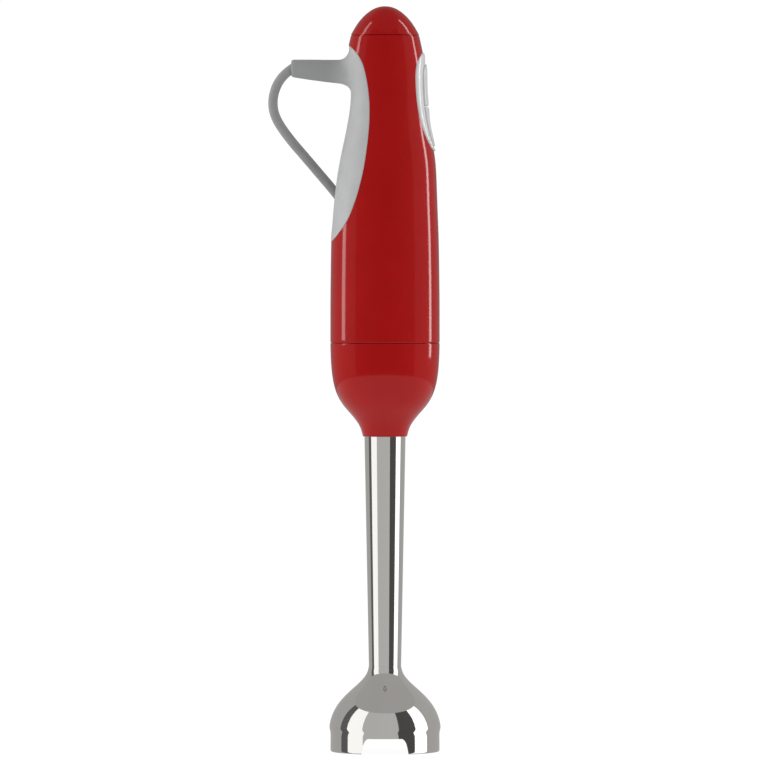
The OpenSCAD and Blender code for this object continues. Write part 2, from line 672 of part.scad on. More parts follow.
module power_cord() { color("gray") sweep(smooth(cord_pts, 2), cord_d / 2, 10); }
module cord_tail() { color("gray") sweep(smooth(tail_pts, 2), cord_d / 2, 10); }
module stadium(r, y1, y2, h) {
    translate([0, y1, 0]) cylinder(r = r, h = h);
    translate([0, y2, 0]) cylinder(r = r, h = h);
    translate([-r, y1, 0]) cube([2 * r, y2 - y1, h]);
}
module cord_hank() {
    color("gray") union() {
        translate([0, 0, hank_z]) stadium(hank_r, hank_y1, hank_y2, hank_top - hank_z);
        translate([0, 0, hank_z]) intersection() {
            stadium(hank_r, hank_y1, hank_y2, hank_rise - hank_z);
            translate([-40, 151, 0]) cube([80, 60, 40]);
        }
    }
}
module cord_tie() {
    r = hank_r + 0.8;
    color("dimgray") translate([0, 138, 0]) difference() {
        translate([-r, 0, 0]) cube([2 * r, 10, hank_top + 0.8]);
        translate([-hank_r, -1, hank_z]) cube([2 * hank_r, 12, hank_top - hank_z]);
    }
}
module plug_body() {
    color("gray") {
        translate([-12.5, 99, hank_top]) cube([25, 22, 15]);
        translate([0, 120.5, hank_top + 7.5]) rotate([-90, 0, 0])
            cylinder(r1 = 6.5, r2 = 3.7, h = 14.5);
    }
}
module plug_blades() {
    color("gold") for (x = [-6.35, 6.35]) translate([x - 0.75, 82.6, hank_top + 4.35])
        cube([1.5, 16.4, 6.3]);
}

main_housing();
rear_grip();
strain_relief();
cord_inner();
cord_clamp();
switch_bezel();
button_carrier();
control_board();
board_components();
tact_switches();
speed_pot();
wiring_loom();
motor_chassis();
stator_core();
field_coils();
upper_bracket();
lower_bracket();
upper_bearing();
lower_bearing();
brush_holders();
carbon_brushes();
brush_springs();
base_plate();
base_screws();
lock_ring_clip();
power_cord();
cord_hank();
cord_tail();
cord_tie();
plug_body();
plug_blades();
speed_dial();
dial_shaft();
dial_clip();
power_button();
turbo_button();
motor_shaft();
armature_core();
armature_windings();
commutator();
cooling_fan();
motor_coupler();
lock_ring();
leg_collar();
socket_insert();
insert_screws();
leg_core();
upper_bush();
shaft_tube();
tube_liner();
bell_guard();
bell_hub();
lower_bush();
shaft_seal();
drive_shaft();
shaft_coupler();
shaft_circlip();
blade_hub();
blade();
blade_nut();
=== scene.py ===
import json
import math

import bmesh
import bpy
import numpy as np
from mathutils import Matrix, Vector
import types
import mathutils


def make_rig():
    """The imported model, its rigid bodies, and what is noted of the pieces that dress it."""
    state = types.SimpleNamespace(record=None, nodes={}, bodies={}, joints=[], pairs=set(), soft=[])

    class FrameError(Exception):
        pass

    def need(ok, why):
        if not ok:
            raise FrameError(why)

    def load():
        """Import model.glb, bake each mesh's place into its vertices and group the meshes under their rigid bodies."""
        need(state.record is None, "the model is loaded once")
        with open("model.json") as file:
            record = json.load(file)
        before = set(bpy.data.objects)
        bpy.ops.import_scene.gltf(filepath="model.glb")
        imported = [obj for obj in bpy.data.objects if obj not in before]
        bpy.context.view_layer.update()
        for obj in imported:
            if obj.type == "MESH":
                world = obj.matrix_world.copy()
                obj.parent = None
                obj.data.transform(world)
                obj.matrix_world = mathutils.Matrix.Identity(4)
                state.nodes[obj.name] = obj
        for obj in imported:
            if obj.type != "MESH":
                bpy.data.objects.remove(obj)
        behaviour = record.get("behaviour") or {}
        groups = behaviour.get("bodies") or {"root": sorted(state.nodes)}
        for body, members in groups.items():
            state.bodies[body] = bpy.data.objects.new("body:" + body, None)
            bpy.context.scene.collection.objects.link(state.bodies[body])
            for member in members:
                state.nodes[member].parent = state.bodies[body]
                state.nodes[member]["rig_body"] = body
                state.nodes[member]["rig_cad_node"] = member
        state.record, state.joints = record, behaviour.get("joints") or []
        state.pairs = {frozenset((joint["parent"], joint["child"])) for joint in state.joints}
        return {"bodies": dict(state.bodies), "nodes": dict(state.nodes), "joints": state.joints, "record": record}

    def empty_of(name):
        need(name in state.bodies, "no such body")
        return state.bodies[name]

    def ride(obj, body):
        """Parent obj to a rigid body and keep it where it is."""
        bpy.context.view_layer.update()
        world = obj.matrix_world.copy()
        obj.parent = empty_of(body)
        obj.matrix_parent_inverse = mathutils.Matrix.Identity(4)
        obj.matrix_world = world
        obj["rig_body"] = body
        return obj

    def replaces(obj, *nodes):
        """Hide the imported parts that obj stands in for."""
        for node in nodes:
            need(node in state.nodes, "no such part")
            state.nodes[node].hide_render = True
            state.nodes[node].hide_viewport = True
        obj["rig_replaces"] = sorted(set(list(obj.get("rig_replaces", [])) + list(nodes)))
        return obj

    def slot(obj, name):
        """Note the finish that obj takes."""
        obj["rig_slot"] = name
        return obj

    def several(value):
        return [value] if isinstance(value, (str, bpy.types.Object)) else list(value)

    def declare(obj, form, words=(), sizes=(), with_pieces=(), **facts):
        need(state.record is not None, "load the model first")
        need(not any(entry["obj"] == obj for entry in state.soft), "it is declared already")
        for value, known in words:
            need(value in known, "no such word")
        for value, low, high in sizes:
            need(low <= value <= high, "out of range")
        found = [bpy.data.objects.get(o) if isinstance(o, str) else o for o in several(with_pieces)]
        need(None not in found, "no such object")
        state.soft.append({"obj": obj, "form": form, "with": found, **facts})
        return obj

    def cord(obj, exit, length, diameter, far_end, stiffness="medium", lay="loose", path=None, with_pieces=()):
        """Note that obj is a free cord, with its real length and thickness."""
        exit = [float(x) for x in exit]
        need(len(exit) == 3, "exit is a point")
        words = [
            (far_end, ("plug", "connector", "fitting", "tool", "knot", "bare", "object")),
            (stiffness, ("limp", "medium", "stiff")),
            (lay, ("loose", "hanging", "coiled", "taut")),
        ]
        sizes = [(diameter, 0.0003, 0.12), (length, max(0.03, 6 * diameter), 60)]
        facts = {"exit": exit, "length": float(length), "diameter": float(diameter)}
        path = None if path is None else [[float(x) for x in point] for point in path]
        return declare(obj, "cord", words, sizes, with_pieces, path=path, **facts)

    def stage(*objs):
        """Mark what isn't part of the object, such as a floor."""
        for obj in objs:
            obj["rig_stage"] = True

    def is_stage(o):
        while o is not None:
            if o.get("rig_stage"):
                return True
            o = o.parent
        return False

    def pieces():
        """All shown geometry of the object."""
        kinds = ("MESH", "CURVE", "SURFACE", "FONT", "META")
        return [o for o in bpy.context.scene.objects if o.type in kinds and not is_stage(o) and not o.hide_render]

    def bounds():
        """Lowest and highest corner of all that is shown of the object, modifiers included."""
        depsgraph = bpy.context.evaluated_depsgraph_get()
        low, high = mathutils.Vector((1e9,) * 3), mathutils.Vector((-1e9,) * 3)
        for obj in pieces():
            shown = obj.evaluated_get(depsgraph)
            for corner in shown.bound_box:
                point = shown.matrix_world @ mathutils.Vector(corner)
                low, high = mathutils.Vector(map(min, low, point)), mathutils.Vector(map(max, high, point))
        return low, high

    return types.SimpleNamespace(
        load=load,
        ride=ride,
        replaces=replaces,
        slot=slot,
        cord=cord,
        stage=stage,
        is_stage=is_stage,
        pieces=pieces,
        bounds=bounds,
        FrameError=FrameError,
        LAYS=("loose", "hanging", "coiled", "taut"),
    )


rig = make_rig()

MM = 0.001
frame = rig.load()
nodes = frame["nodes"]
CAD_BOX = [[float(x) for x in p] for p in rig.bounds()]
scene = bpy.context.scene
scene.view_settings.view_transform = "Standard"
scene.view_settings.look = "None"
scene.view_settings.exposure = 0.0
scene.view_settings.gamma = 1.0

# ---------------------------------------------------------------- camera ----
DIST = 4.0
EYE_Z = 0.27
SPAN = 0.41472          # height of the frame at the axis, in metres
cam_data = bpy.data.cameras.new("camera")
cam = bpy.data.objects.new("camera", cam_data)
scene.collection.objects.link(cam)
scene.camera = cam
cam_data.sensor_width = 36.0
cam_data.sensor_fit = "HORIZONTAL"
cam_data.lens = 36.0 * DIST / SPAN
cam_data.clip_start = 0.05
cam_data.clip_end = 60.0
MID_Z = 0.1985
CAM_X = -0.00054
cam.location = (CAM_X, -DIST, EYE_Z)
aim = Vector((CAM_X, 0.0, MID_Z)) - Vector(cam.location)
cam.rotation_euler = aim.to_track_quat("-Z", "Y").to_euler()

# ------------------------------------------------------------ the tables ----
# The same outlines as the CAD source, in millimetres.
FRONT = [(220, 29.5), (240, 29.5), (252, 29.4), (264, 29.25), (276, 29.05),
         (288, 28.6), (300, 28.15), (306, 27.95), (312, 27.75), (318, 27.4),
         (324, 26.6), (330, 25.4), (336, 24.2), (342, 23.2), (348, 22.5),
         (354, 22.25), (360, 22.15), (366, 21.95), (371, 21.55), (376, 20.8),
         (380, 19.95), (383, 19.25), (386.2, 18.5)]
BACK = [(262, 29.25), (270, 29.1), (276, 28.9), (283, 28.6), (290, 28.1),
        (296, 27.5), (302, 26.9), (308, 26.2), (314, 25.3), (320, 24.2),
        (326, 22.9), (332, 21.6), (338, 20.4), (344, 19.3), (350, 18.5),
        (356, 18.3), (362, 18.5), (368, 18.8), (374, 19.1), (378, 19.3),
        (381, 19.4), (384, 19.0), (386.2, 18.5)]
EDGE = [(275.4, -28.8), (277, -27.2), (279, -25.6), (281.5, -23.7),
        (285, -21.2), (288, -19.6), (292, -17.9), (295.5, -16.6),
        (299, -15.4), (303, -14.2), (307, -13.2), (311, -12.2),
        (315, -11.4), (319, -10.7), (323, -10.1), (327, -9.6), (331, -9.1),
        (335, -8.75), (341, -8.35), (347, -8.3), (351, -8.45), (355, -8.8),
        (359, -9.3), (362, -9.8), (365, -10.35), (368, -11.05), (371, -12),
        (373.5, -13.1), (376, -14.6), (378, -16.2), (379.5, -17.6),
        (380.6, -18.8)]
BEZEL = [(324, 0.4), (324.5, 4), (325.5, 6.8), (327, 8.9), (329, 10.7),
         (332, 12.2), (336, 13.2), (341, 13.9), (347, 14.3), (353, 14.6),
         (359, 14.8), (363, 14.8), (367, 14.3), (370, 13.4), (372.5, 11.9),
         (374.5, 9.8), (376, 7.4), (377, 4.8), (377.4, 0.4)]
ISLAND = [(326.3, 0.4), (326.8, 2.4), (327.8, 4.2), (329.5, 5.9), (332, 7.2),
          (335, 7.9), (340, 8.4), (346, 8.8), (352, 9.2), (358, 9.5),
          (363, 9.5), (366.5, 8.8), (368.8, 7.5), (370.2, 5.8), (371, 3.8),
          (371.4, 0.4)]
SPLIT = 348.2
COLLAR = [(170.2, 11.9), (170.8, 12.3), (172.5, 12.5), (174.2, 12.9),
          (176.3, 13.9), (178.5, 15.3), (180.6, 17), (182.8, 18.9),
          (185, 20.9), (187, 22.6), (189.3, 24.1), (191.4, 25.3),
          (193.6, 26.25), (195.8, 27), (198, 27.6), (200.5, 28.1),
          (203, 28.5), (206, 28.85), (210, 29.15), (215, 29.4), (220.4, 29.5)]
BELL = [(0, 29), (0.3, 29.4), (1, 29.6), (3.5, 29.6), (7, 29.4), (10, 29.3),
        (11.4, 29.4), (12.4, 30.05), (13.4, 30.1), (14.9, 29.9),
        (16.5, 29.55), (18.1, 29.15), (19.7, 28.6), (21.3, 27.9),
        (23, 27.05), (24.6, 26.1), (26.2, 25), (27.8, 23.7), (29.4, 22.2),
        (31.1, 20.6), (32.7, 18.8), (34.3, 17), (35.9, 15.15), (37.5, 13.4),
        (39.2, 11.75), (40.8, 10.4), (42.4, 9.5), (44, 9), (46, 8.8)]
CORD = [(-48.4, 0, 369.9), (-50.9, 0, 368.2), (-54.8, 0.3, 365.0), (-57.9, 0.8, 360.7),
        (-59.9, 1.4, 355.6), (-60.6, 2.2, 350.2), (-59.9, 3.2, 344.9),
        (-57.7, 4.6, 339.8), (-54.4, 6.3, 334.8), (-50.3, 8.4, 329.4),
        (-45.6, 10.8, 323.9), (-40.7, 13.4, 318.2), (-35.6, 16.2, 312.2),
        (-30.3, 19.5, 306), (-24.8, 23.5, 299.2), (-19.2, 28, 291.2),
        (-14, 32.2, 281.5), (-9.4, 35.6, 269.6), (-5.6, 37.9, 255),
        (-3, 39, 238), (-1.2, 39.4, 218), (-0.3, 39.3, 196), (0, 39, 172),
        (0, 39.2, 145), (0, 40, 115), (0, 41.8, 88), (-0.4, 45, 65),
        (-1.4, 50.4, 45), (-3.2, 58.4, 28.6), (-6, 68, 17), (-9.4, 78, 9.6),
        (-13.2, 88, 5.4), (-17, 98, 3.6), (-20.4, 108, 3.3)]
TAIL = [(11.4, 160, 14.5), (10.4, 154.6, 15.3), (7.6, 148.6, 16.7),
        (3.9, 142.6, 18.3), (1.1, 138.4, 19.1), (0, 135, 19.2)]
CORD_D = 5.1
HANK_Y1, HANK_Y2 = 123.4, 161.9


class Smooth:
    """A smooth curve through a table, sorted by its first column."""

    def __init__(self, table):
        t = np.array(table, float)
        self.x, self.y = t[:, 0], t[:, 1]
        h = np.diff(self.x)
        d = np.diff(self.y) / h
        m = np.zeros(len(self.x))
        m[0], m[-1] = d[0], d[-1]
        for i in range(1, len(m) - 1):
            if d[i - 1] * d[i] > 0:
                w1, w2 = 2 * h[i] + h[i - 1], h[i] + 2 * h[i - 1]
                m[i] = (w1 + w2) / (w1 / d[i - 1] + w2 / d[i])
        self.m = m

    def __call__(self, v):
        v = np.clip(np.asarray(v, float), self.x[0], self.x[-1])
        i = np.clip(np.searchsorted(self.x, v, side="right") - 1, 0, len(self.x) - 2)
        h = self.x[i + 1] - self.x[i]
        t = (v - self.x[i]) / h
        return ((2 * t**3 - 3 * t**2 + 1) * self.y[i] + (t**3 - 2 * t**2 + t) * h * self.m[i]
                + (-2 * t**3 + 3 * t**2) * self.y[i + 1] + (t**3 - t**2) * h * self.m[i + 1])


def eased(table, step=1.0, passes=30, power=0.25):
    """A table resampled finely and relaxed a little, so that reflections run without kinks."""
    s = Smooth(table)
    n = max(int((s.x[-1] - s.x[0]) / step), 8)
    x = np.linspace(s.x[0], s.x[-1], n + 1)
    y = s(x)
    for _ in range(passes):
        y[1:-1] += power * (y[:-2] + y[2:] - 2 * y[1:-1])
    return Smooth(np.stack([x, y], 1))


front = eased(FRONT, 1.0, 40)
back = eased(BACK, 1.0, 40)
edge_x = eased(EDGE, 0.8, 10)

# ---------------------------------------------------------- mesh helpers ----


def mesh_object(name, verts, faces, smooth=True, sharp=None):
    me = bpy.data.meshes.new(name)
    me.from_pydata([tuple(v) for v in np.asarray(verts, float) * MM], [], [tuple(map(int, f)) for f in faces])
    me.validate()
    bm = bmesh.new()
    bm.from_mesh(me)
    bmesh.ops.remove_doubles(bm, verts=bm.verts, dist=1e-6)
    bmesh.ops.dissolve_degenerate(bm, edges=bm.edges, dist=1e-7)
    bmesh.ops.recalc_face_normals(bm, faces=bm.faces)
    bm.to_mesh(me)
    bm.free()
    o = bpy.data.objects.new(name, me)
    scene.collection.objects.link(o)
    if smooth:
        me.polygons.foreach_set("use_smooth", [True] * len(me.polygons))
        if sharp is not None:
            me.set_sharp_from_angle(angle=math.radians(sharp))
    return o


def join_meshes(name, parts):
    """parts is a list of (verts, faces) arrays, joined to one object."""
    verts, faces, n = [], [], 0
    for v, f in parts:
        verts.append(np.asarray(v, float))
        faces += [tuple(int(i) + n for i in q) for q in f]
        n += len(v)
    return np.concatenate(verts), faces


def lathe(profile, segs=160, closed=True, start=0.0, turn=2 * math.pi):
    """Verts and faces of a closed profile of (radius, height) turned about Z."""
    p = np.array(profile, float)
    a = start + np.linspace(0, turn, segs, endpoint=False)
    v = np.stack([np.outer(np.cos(a), p[:, 0]), np.outer(np.sin(a), p[:, 0]),
                  np.tile(p[:, 1], (segs, 1))], -1).reshape(-1, 3)
    n = len(p)
    f = []
    for i in range(segs):
        j = (i + 1) % segs
        for k in range(n if closed else n - 1):
            m = (k + 1) % n
            f.append((i * n + k, j * n + k, j * n + m, i * n + m))
    return v, f


def rounded(points, radii, steps=5):
    """A closed outline whose corners are rounded by radii."""
    p = [np.array(q, float) for q in points]
    out = []
    for i, q in enumerate(p):
        r = radii[i] if hasattr(radii, "__len__") else radii
        a, b = p[i - 1] - q, p[(i + 1) % len(p)] - q
        la, lb = np.linalg.norm(a), np.linalg.norm(b)
        if r <= 0 or la < 1e-9 or lb < 1e-9:
            out.append(q)
            continue
        a, b = a / la, b / lb
        cosang = float(np.clip(a @ b, -1, 1))
        half = math.acos(cosang) / 2
        if half > math.pi / 2 - 0.02:
            out.append(q)
            continue
        d = min(r / math.tan(half), 0.49 * la, 0.49 * lb)
        s, e = q + a * d, q + b * d
        for k in range(steps + 1):
            t = k / steps
            out.append((1 - t) ** 2 * s + 2 * t * (1 - t) * q + t * t * e)
    return np.array(out)


def catmull(points, n):
    p = np.array(points, float)
    m = len(p) - 1
    out = []
    for i in range(m):
        a, b, c, d = p[max(i - 1, 0)], p[i], p[i + 1], p[min(i + 2, m)]
        for t in np.arange(n) / n:
            out.append(0.5 * (2 * b + (c - a) * t + (2 * a - 5 * b + 4 * c - d) * t * t
                              + (3 * b - a - 3 * c + d) * t**3))
    out.append(p[-1])
    return np.array(out)


def boolean(target, cutter, keep=False):
    bpy.context.view_layer.update()
    m = target.modifiers.new("cut", "BOOLEAN")
    m.operation = "DIFFERENCE"
    m.solver = "EXACT"
    m.object = cutter
    dg = bpy.context.evaluated_depsgraph_get()
    new = bpy.data.meshes.new_from_object(target.evaluated_get(dg))
    target.modifiers.clear()
    old = target.data
    target.data = new
    bpy.data.meshes.remove(old)
    if not keep:
        bpy.data.objects.remove(cutter)


def apply_modifiers(o):
    bpy.context.view_layer.update()
    dg = bpy.context.evaluated_depsgraph_get()
    new = bpy.data.meshes.new_from_object(o.evaluated_get(dg))
    o.modifiers.clear()
    old = o.data
    o.data = new
    bpy.data.meshes.remove(old)


def bevel(o, width, segs=2, angle=35):
    m = o.modifiers.new("bevel", "BEVEL")
    m.width = width * MM
    m.segments = segs
    m.limit_method = "ANGLE"
    m.angle_limit = math.radians(angle)
    m.harden_normals = False
    apply_modifiers(o)


def shade(o, angle=35):
    o.data.polygons.foreach_set("use_smooth", [True] * len(o.data.polygons))
    o.data.set_sharp_from_angle(angle=math.radians(angle))


def prism(name, outline, axis, lo, hi):
    """A closed prism: the outline in (x, z) along y, or in (y, z) along x."""
    p = np.array(outline, float)
    n = len(p)
    if axis == "y":
        a = np.stack([p[:, 0], np.full(n, lo), p[:, 1]], 1)
        b = np.stack([p[:, 0], np.full(n, hi), p[:, 1]], 1)
    else:
        a = np.stack([np.full(n, lo), p[:, 0], p[:, 1]], 1)
        b = np.stack([np.full(n, hi), p[:, 0], p[:, 1]], 1)
    f = [tuple(range(n)), tuple(range(2 * n - 1, n - 1, -1))]
    f += [(i, (i + 1) % n, n + (i + 1) % n, n + i) for i in range(n)]
    return mesh_object(name, np.concatenate([a, b]), f, smooth=False)


def oval(table, grow=0.0, n=120):
    """An even outline in (y, z) from a table of half widths, grown outward."""
    t = np.array(table, float)
    half = [(w, z) for z, w in table]
    pts = np.array([(0, t[0, 0])] + half + [(0, t[-1, 0])] + [(-w, z) for w, z in half[::-1]], float)
    # an even, smooth closed curve through them
    closed = np.concatenate([pts, pts[:1]])
    s = np.concatenate([[0], np.cumsum(np.linalg.norm(np.diff(closed, axis=0), axis=1))])
    u = np.linspace(0, s[-1], 4 * n, endpoint=False)
    q = np.stack([np.interp(u, s, closed[:, 0]), np.interp(u, s, closed[:, 1])], 1)
    for _ in range(30):
        q = 0.5 * q + 0.25 * (np.roll(q, 1, 0) + np.roll(q, -1, 0))
    if grow:
        t = np.roll(q, -1, 0) - np.roll(q, 1, 0)
        t /= np.linalg.norm(t, axis=1)[:, None]
        q = q + grow * np.stack([t[:, 1], -t[:, 0]], 1)
    return q[::4]


# ------------------------------------------------------------- materials ----


def new_material(name):
    m = bpy.data.materials.new(name)
    m.use_nodes = True
    nt = m.node_tree
    bsdf = nt.nodes["Principled BSDF"]
    return m, nt, bsdf


def link(nt, a, b):
    nt.links.new(a, b)


def node(nt, kind, **inputs):
    n = nt.nodes.new(kind)
    for k, v in inputs.items():
        if k.startswith("_"):
            setattr(n, k[1:], v)
        else:
            n.inputs[k.replace("__", " ")].default_value = v
    return n


def objcoord(nt, scale=(1, 1, 1)):
    tc = nt.nodes.new("ShaderNodeTexCoord")
    mp = nt.nodes.new("ShaderNodeMapping")
    mp.inputs["Scale"].default_value = scale
    link(nt, tc.outputs["Object"], mp.inputs["Vector"])
    return mp.outputs["Vector"]


def noise(nt, vec, scale, detail=3.0, rough=0.5):
    n = nt.nodes.new("ShaderNodeTexNoise")
    n.inputs["Scale"].default_value = scale
    n.inputs["Detail"].default_value = detail
    n.inputs["Roughness"].default_value = rough
    link(nt, vec, n.inputs["Vector"])
    return n.outputs["Fac"]


def ramp(nt, fac, stops, interp="LINEAR"):
    r = nt.nodes.new("ShaderNodeValToRGB")
    r.color_ramp.interpolation = interp
    els = r.color_ramp.elements
    while len(els) > 1:
        els.remove(els[-1])
    for i, (pos, col) in enumerate(stops):
        e = els[0] if i == 0 else els.new(pos)
        e.position = pos
        c = col if hasattr(col, "__len__") else (col, col, col)
        e.color = (*c[:3], 1.0)
    link(nt, fac, r.inputs["Fac"])
    return r.outputs["Color"]


def bump(nt, height, strength, distance, bsdf):
    b = nt.nodes.new("ShaderNodeBump")
    b.inputs["Strength"].default_value = strength
    b.inputs["Distance"].default_value = distance
    link(nt, height, b.inputs["Height"])
    link(nt, b.outputs["Normal"], bsdf.inputs["Normal"])
    return b


def mat_gloss_red(name="gloss_red"):
    m, nt, b = new_material(name)
    v = objcoord(nt)
    f = noise(nt, v, 55, 2.0)
    c = ramp(nt, f, [(0.3, (0.338, 0.0046, 0.0044)), (0.7, (0.362, 0.0052, 0.0050))])
    link(nt, c, b.inputs["Base Color"])
    r = ramp(nt, noise(nt, v, 240, 3.0), [(0.25, 0.10), (0.8, 0.14)])
    link(nt, r, b.inputs["Roughness"])
    b.inputs["Specular IOR Level"].default_value = 0.3
    b.inputs["IOR"].default_value = 1.45
    b.inputs["Coat Weight"].default_value = 0.5
    b.inputs["Coat Roughness"].default_value = 0.05
    bump(nt, noise(nt, v, 900, 2.0), 0.02, 0.0001, b)
    return m


def mat_soft(name, col_a, col_b, rough=0.55, relief=False):
    m, nt, b = new_material(name)
    v = objcoord(nt)
    f = noise(nt, v, 130, 4.0)
    c = ramp(nt, f, [(0.3, col_a), (0.7, col_b)])
    if relief:
        tc = nt.nodes.new("ShaderNodeTexCoord")
        sep = nt.nodes.new("ShaderNodeSeparateXYZ")
        link(nt, tc.outputs["Object"], sep.inputs["Vector"])
        mr = nt.nodes.new("ShaderNodeMapRange")
        mr.interpolation_type = "SMOOTHSTEP"
        mr.inputs["From Min"].default_value = -0.033
        mr.inputs["From Max"].default_value = -0.0185
        link(nt, sep.outputs["X"], mr.inputs["Value"])
        mx = nt.nodes.new("ShaderNodeMix")
        mx.data_type = "RGBA"
        link(nt, mr.outputs["Result"], mx.inputs["Factor"])
        mx.inputs[6].default_value = (*relief, 1)
        link(nt, c, mx.inputs[7])
        c = mx.outputs[2]
    link(nt, c, b.inputs["Base Color"])
    b.inputs["Roughness"].default_value = rough
    b.inputs["Specular IOR Level"].default_value = 0.35
    b.inputs["Sheen Weight"].default_value = 0.08
    b.inputs["Sheen Roughness"].default_value = 0.4
    bump(nt, noise(nt, v, 2600, 2.0), 0.12, 0.00008, b)
    return m


def mat_metal(name, col, rough, brushed=None, bump_s=0.0, metal=1.0):
    m, nt, b = new_material(name)
    v = objcoord(nt, brushed or (1, 1, 1))
    f = noise(nt, v, 60 if brushed else 90, 3.0)
    d = tuple(x * 0.955 for x in col)
    link(nt, ramp(nt, f, [(0.3, d), (0.7, col)]), b.inputs["Base Color"])
    b.inputs["Metallic"].default_value = metal
    r = ramp(nt, noise(nt, v, 400, 3.0), [(0.2, rough * 0.85), (0.8, rough * 1.2)])
    link(nt, r, b.inputs["Roughness"])
    if bump_s:
        bump(nt, noise(nt, v, 700, 2.0), bump_s, 0.00004, b)
    return m


def mat_plastic(name, col, rough=0.45, var=0.08, bump_s=0.15, scale=1500, spec=0.5):
    m, nt, b = new_material(name)
    v = objcoord(nt)
    d = tuple(x * (1 - var) for x in col)
    link(nt, ramp(nt, noise(nt, v, 180, 3.0), [(0.3, d), (0.7, col)]), b.inputs["Base Color"])
    r = ramp(nt, noise(nt, v, 500, 2.0), [(0.2, rough * 0.9), (0.8, min(rough * 1.12, 1))])
    link(nt, r, b.inputs["Roughness"])
    b.inputs["Specular IOR Level"].default_value = spec
    bump(nt, noise(nt, v, scale, 2.0), bump_s, 0.00006, b)
    return m


def mat_wound(name, col, rough=0.35, pitch=1400.0):
    """Enamelled wire laid in turns round the drive axis."""
    m, nt, b = new_material(name)
    v = objcoord(nt)
    w = nt.nodes.new("ShaderNodeTexWave")
    w.wave_type = "BANDS"
    w.bands_direction = "Z"
    w.inputs["Scale"].default_value = pitch / 6.28
    w.inputs["Distortion"].default_value = 0.4
    link(nt, v, w.inputs["Vector"])
    link(nt, ramp(nt, w.outputs["Fac"], [(0.0, tuple(x * 0.35 for x in col)), (0.6, col)]), b.inputs["Base Color"])
    b.inputs["Metallic"].default_value = 0.75
    b.inputs["Roughness"].default_value = rough
    bump(nt, w.outputs["Fac"], 0.5, 0.0002, b)
    return m


def mat_laminated(name, col):
    m, nt, b = new_material(name)
    v = objcoord(nt)
    w = nt.nodes.new("ShaderNodeTexWave")
    w.wave_type = "BANDS"
    w.bands_direction = "Z"
    w.inputs["Scale"].default_value = 320.0
    w.inputs["Distortion"].default_value = 0.1
    link(nt, v, w.inputs["Vector"])
    link(nt, ramp(nt, w.outputs["Fac"], [(0.0, tuple(x * 0.4 for x in col)), (0.35, col)]), b.inputs["Base Color"])
    b.inputs["Metallic"].default_value = 0.8
    b.inputs["Roughness"].default_value = 0.45
    bump(nt, w.outputs["Fac"], 0.35, 0.0002, b)
    return m


M = {
    "red_shell": mat_gloss_red(),
    "soft_grip": mat_soft("soft_grey", (0.415, 0.42, 0.425), (0.45, 0.455, 0.46), 0.5),
    "relief_grey": mat_soft("relief_grey", (0.415, 0.42, 0.425), (0.45, 0.455, 0.46), 0.5,
                            relief=(0.30, 0.305, 0.31)),
    "cord_grey": mat_soft("cord_grey", (0.27, 0.272, 0.275), (0.305, 0.307, 0.31), 0.42),
    "silver_plastic": mat_metal("silver_lacquer", (0.60, 0.607, 0.615), 0.36, bump_s=0.05, metal=0.12),
    "bright_rim": mat_metal("bright_rim", (0.72, 0.724, 0.73), 0.24, metal=0.2),
    "steel": mat_metal("polished_steel", (0.74, 0.735, 0.72), 0.045, brushed=(1, 1, 0.06), bump_s=0.012),
    "shaft_steel": mat_metal("ground_steel", (0.62, 0.62, 0.62), 0.24, brushed=(0.1, 0.1, 1), bump_s=0.1),
    "black_plastic": mat_plastic("black_plastic", (0.022, 0.022, 0.024), 0.42),
    "grey_plastic": mat_plastic("grey_plastic", (0.085, 0.087, 0.09), 0.5),
    "white_plastic": mat_plastic("natural_plastic", (0.62, 0.60, 0.52), 0.42),
    "orange_plastic": mat_plastic("orange_plastic", (0.62, 0.16, 0.02), 0.4),
    "board_green": mat_plastic("board_green", (0.015, 0.10, 0.035), 0.3, 0.2),
    "lamination": mat_laminated("lamination", (0.30, 0.30, 0.32)),
    "copper": mat_wound("copper_wire", (0.62, 0.24, 0.10)),
    "brass": mat_metal("brass", (0.78, 0.58, 0.26), 0.26, bump_s=0.06),
    "bronze": mat_metal("bronze", (0.52, 0.36, 0.18), 0.4, bump_s=0.2),
    "alloy": mat_metal("cast_alloy", (0.62, 0.63, 0.65), 0.42, bump_s=0.25),
    "carbon": mat_plastic("carbon", (0.02, 0.02, 0.021), 0.6, 0.3, 0.3),
    "wire_dark": mat_plastic("wire_dark", (0.02, 0.025, 0.04), 0.45),
    "seal_rubber": mat_plastic("seal_rubber", (0.018, 0.018, 0.018), 0.62),
}


def dress(o, slot):
    o.data.materials.clear()
    o.data.materials.append(M[slot])
    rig.slot(o, slot)
    return o


slot_of = {s["node"]: s["material_slot"] for s in frame["record"]["subparts"]}
for n, o in nodes.items():
    m = M[slot_of[n]]
    if not o.data.materials:
        o.data.materials.append(m)
    for i in range(len(o.material_slots)):
        o.material_slots[i].material = m


def piece(o, slot, body, *replaced):
    dress(o, slot)
    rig.ride(o, body)
    if replaced:
        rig.replaces(o, *replaced)
    return o


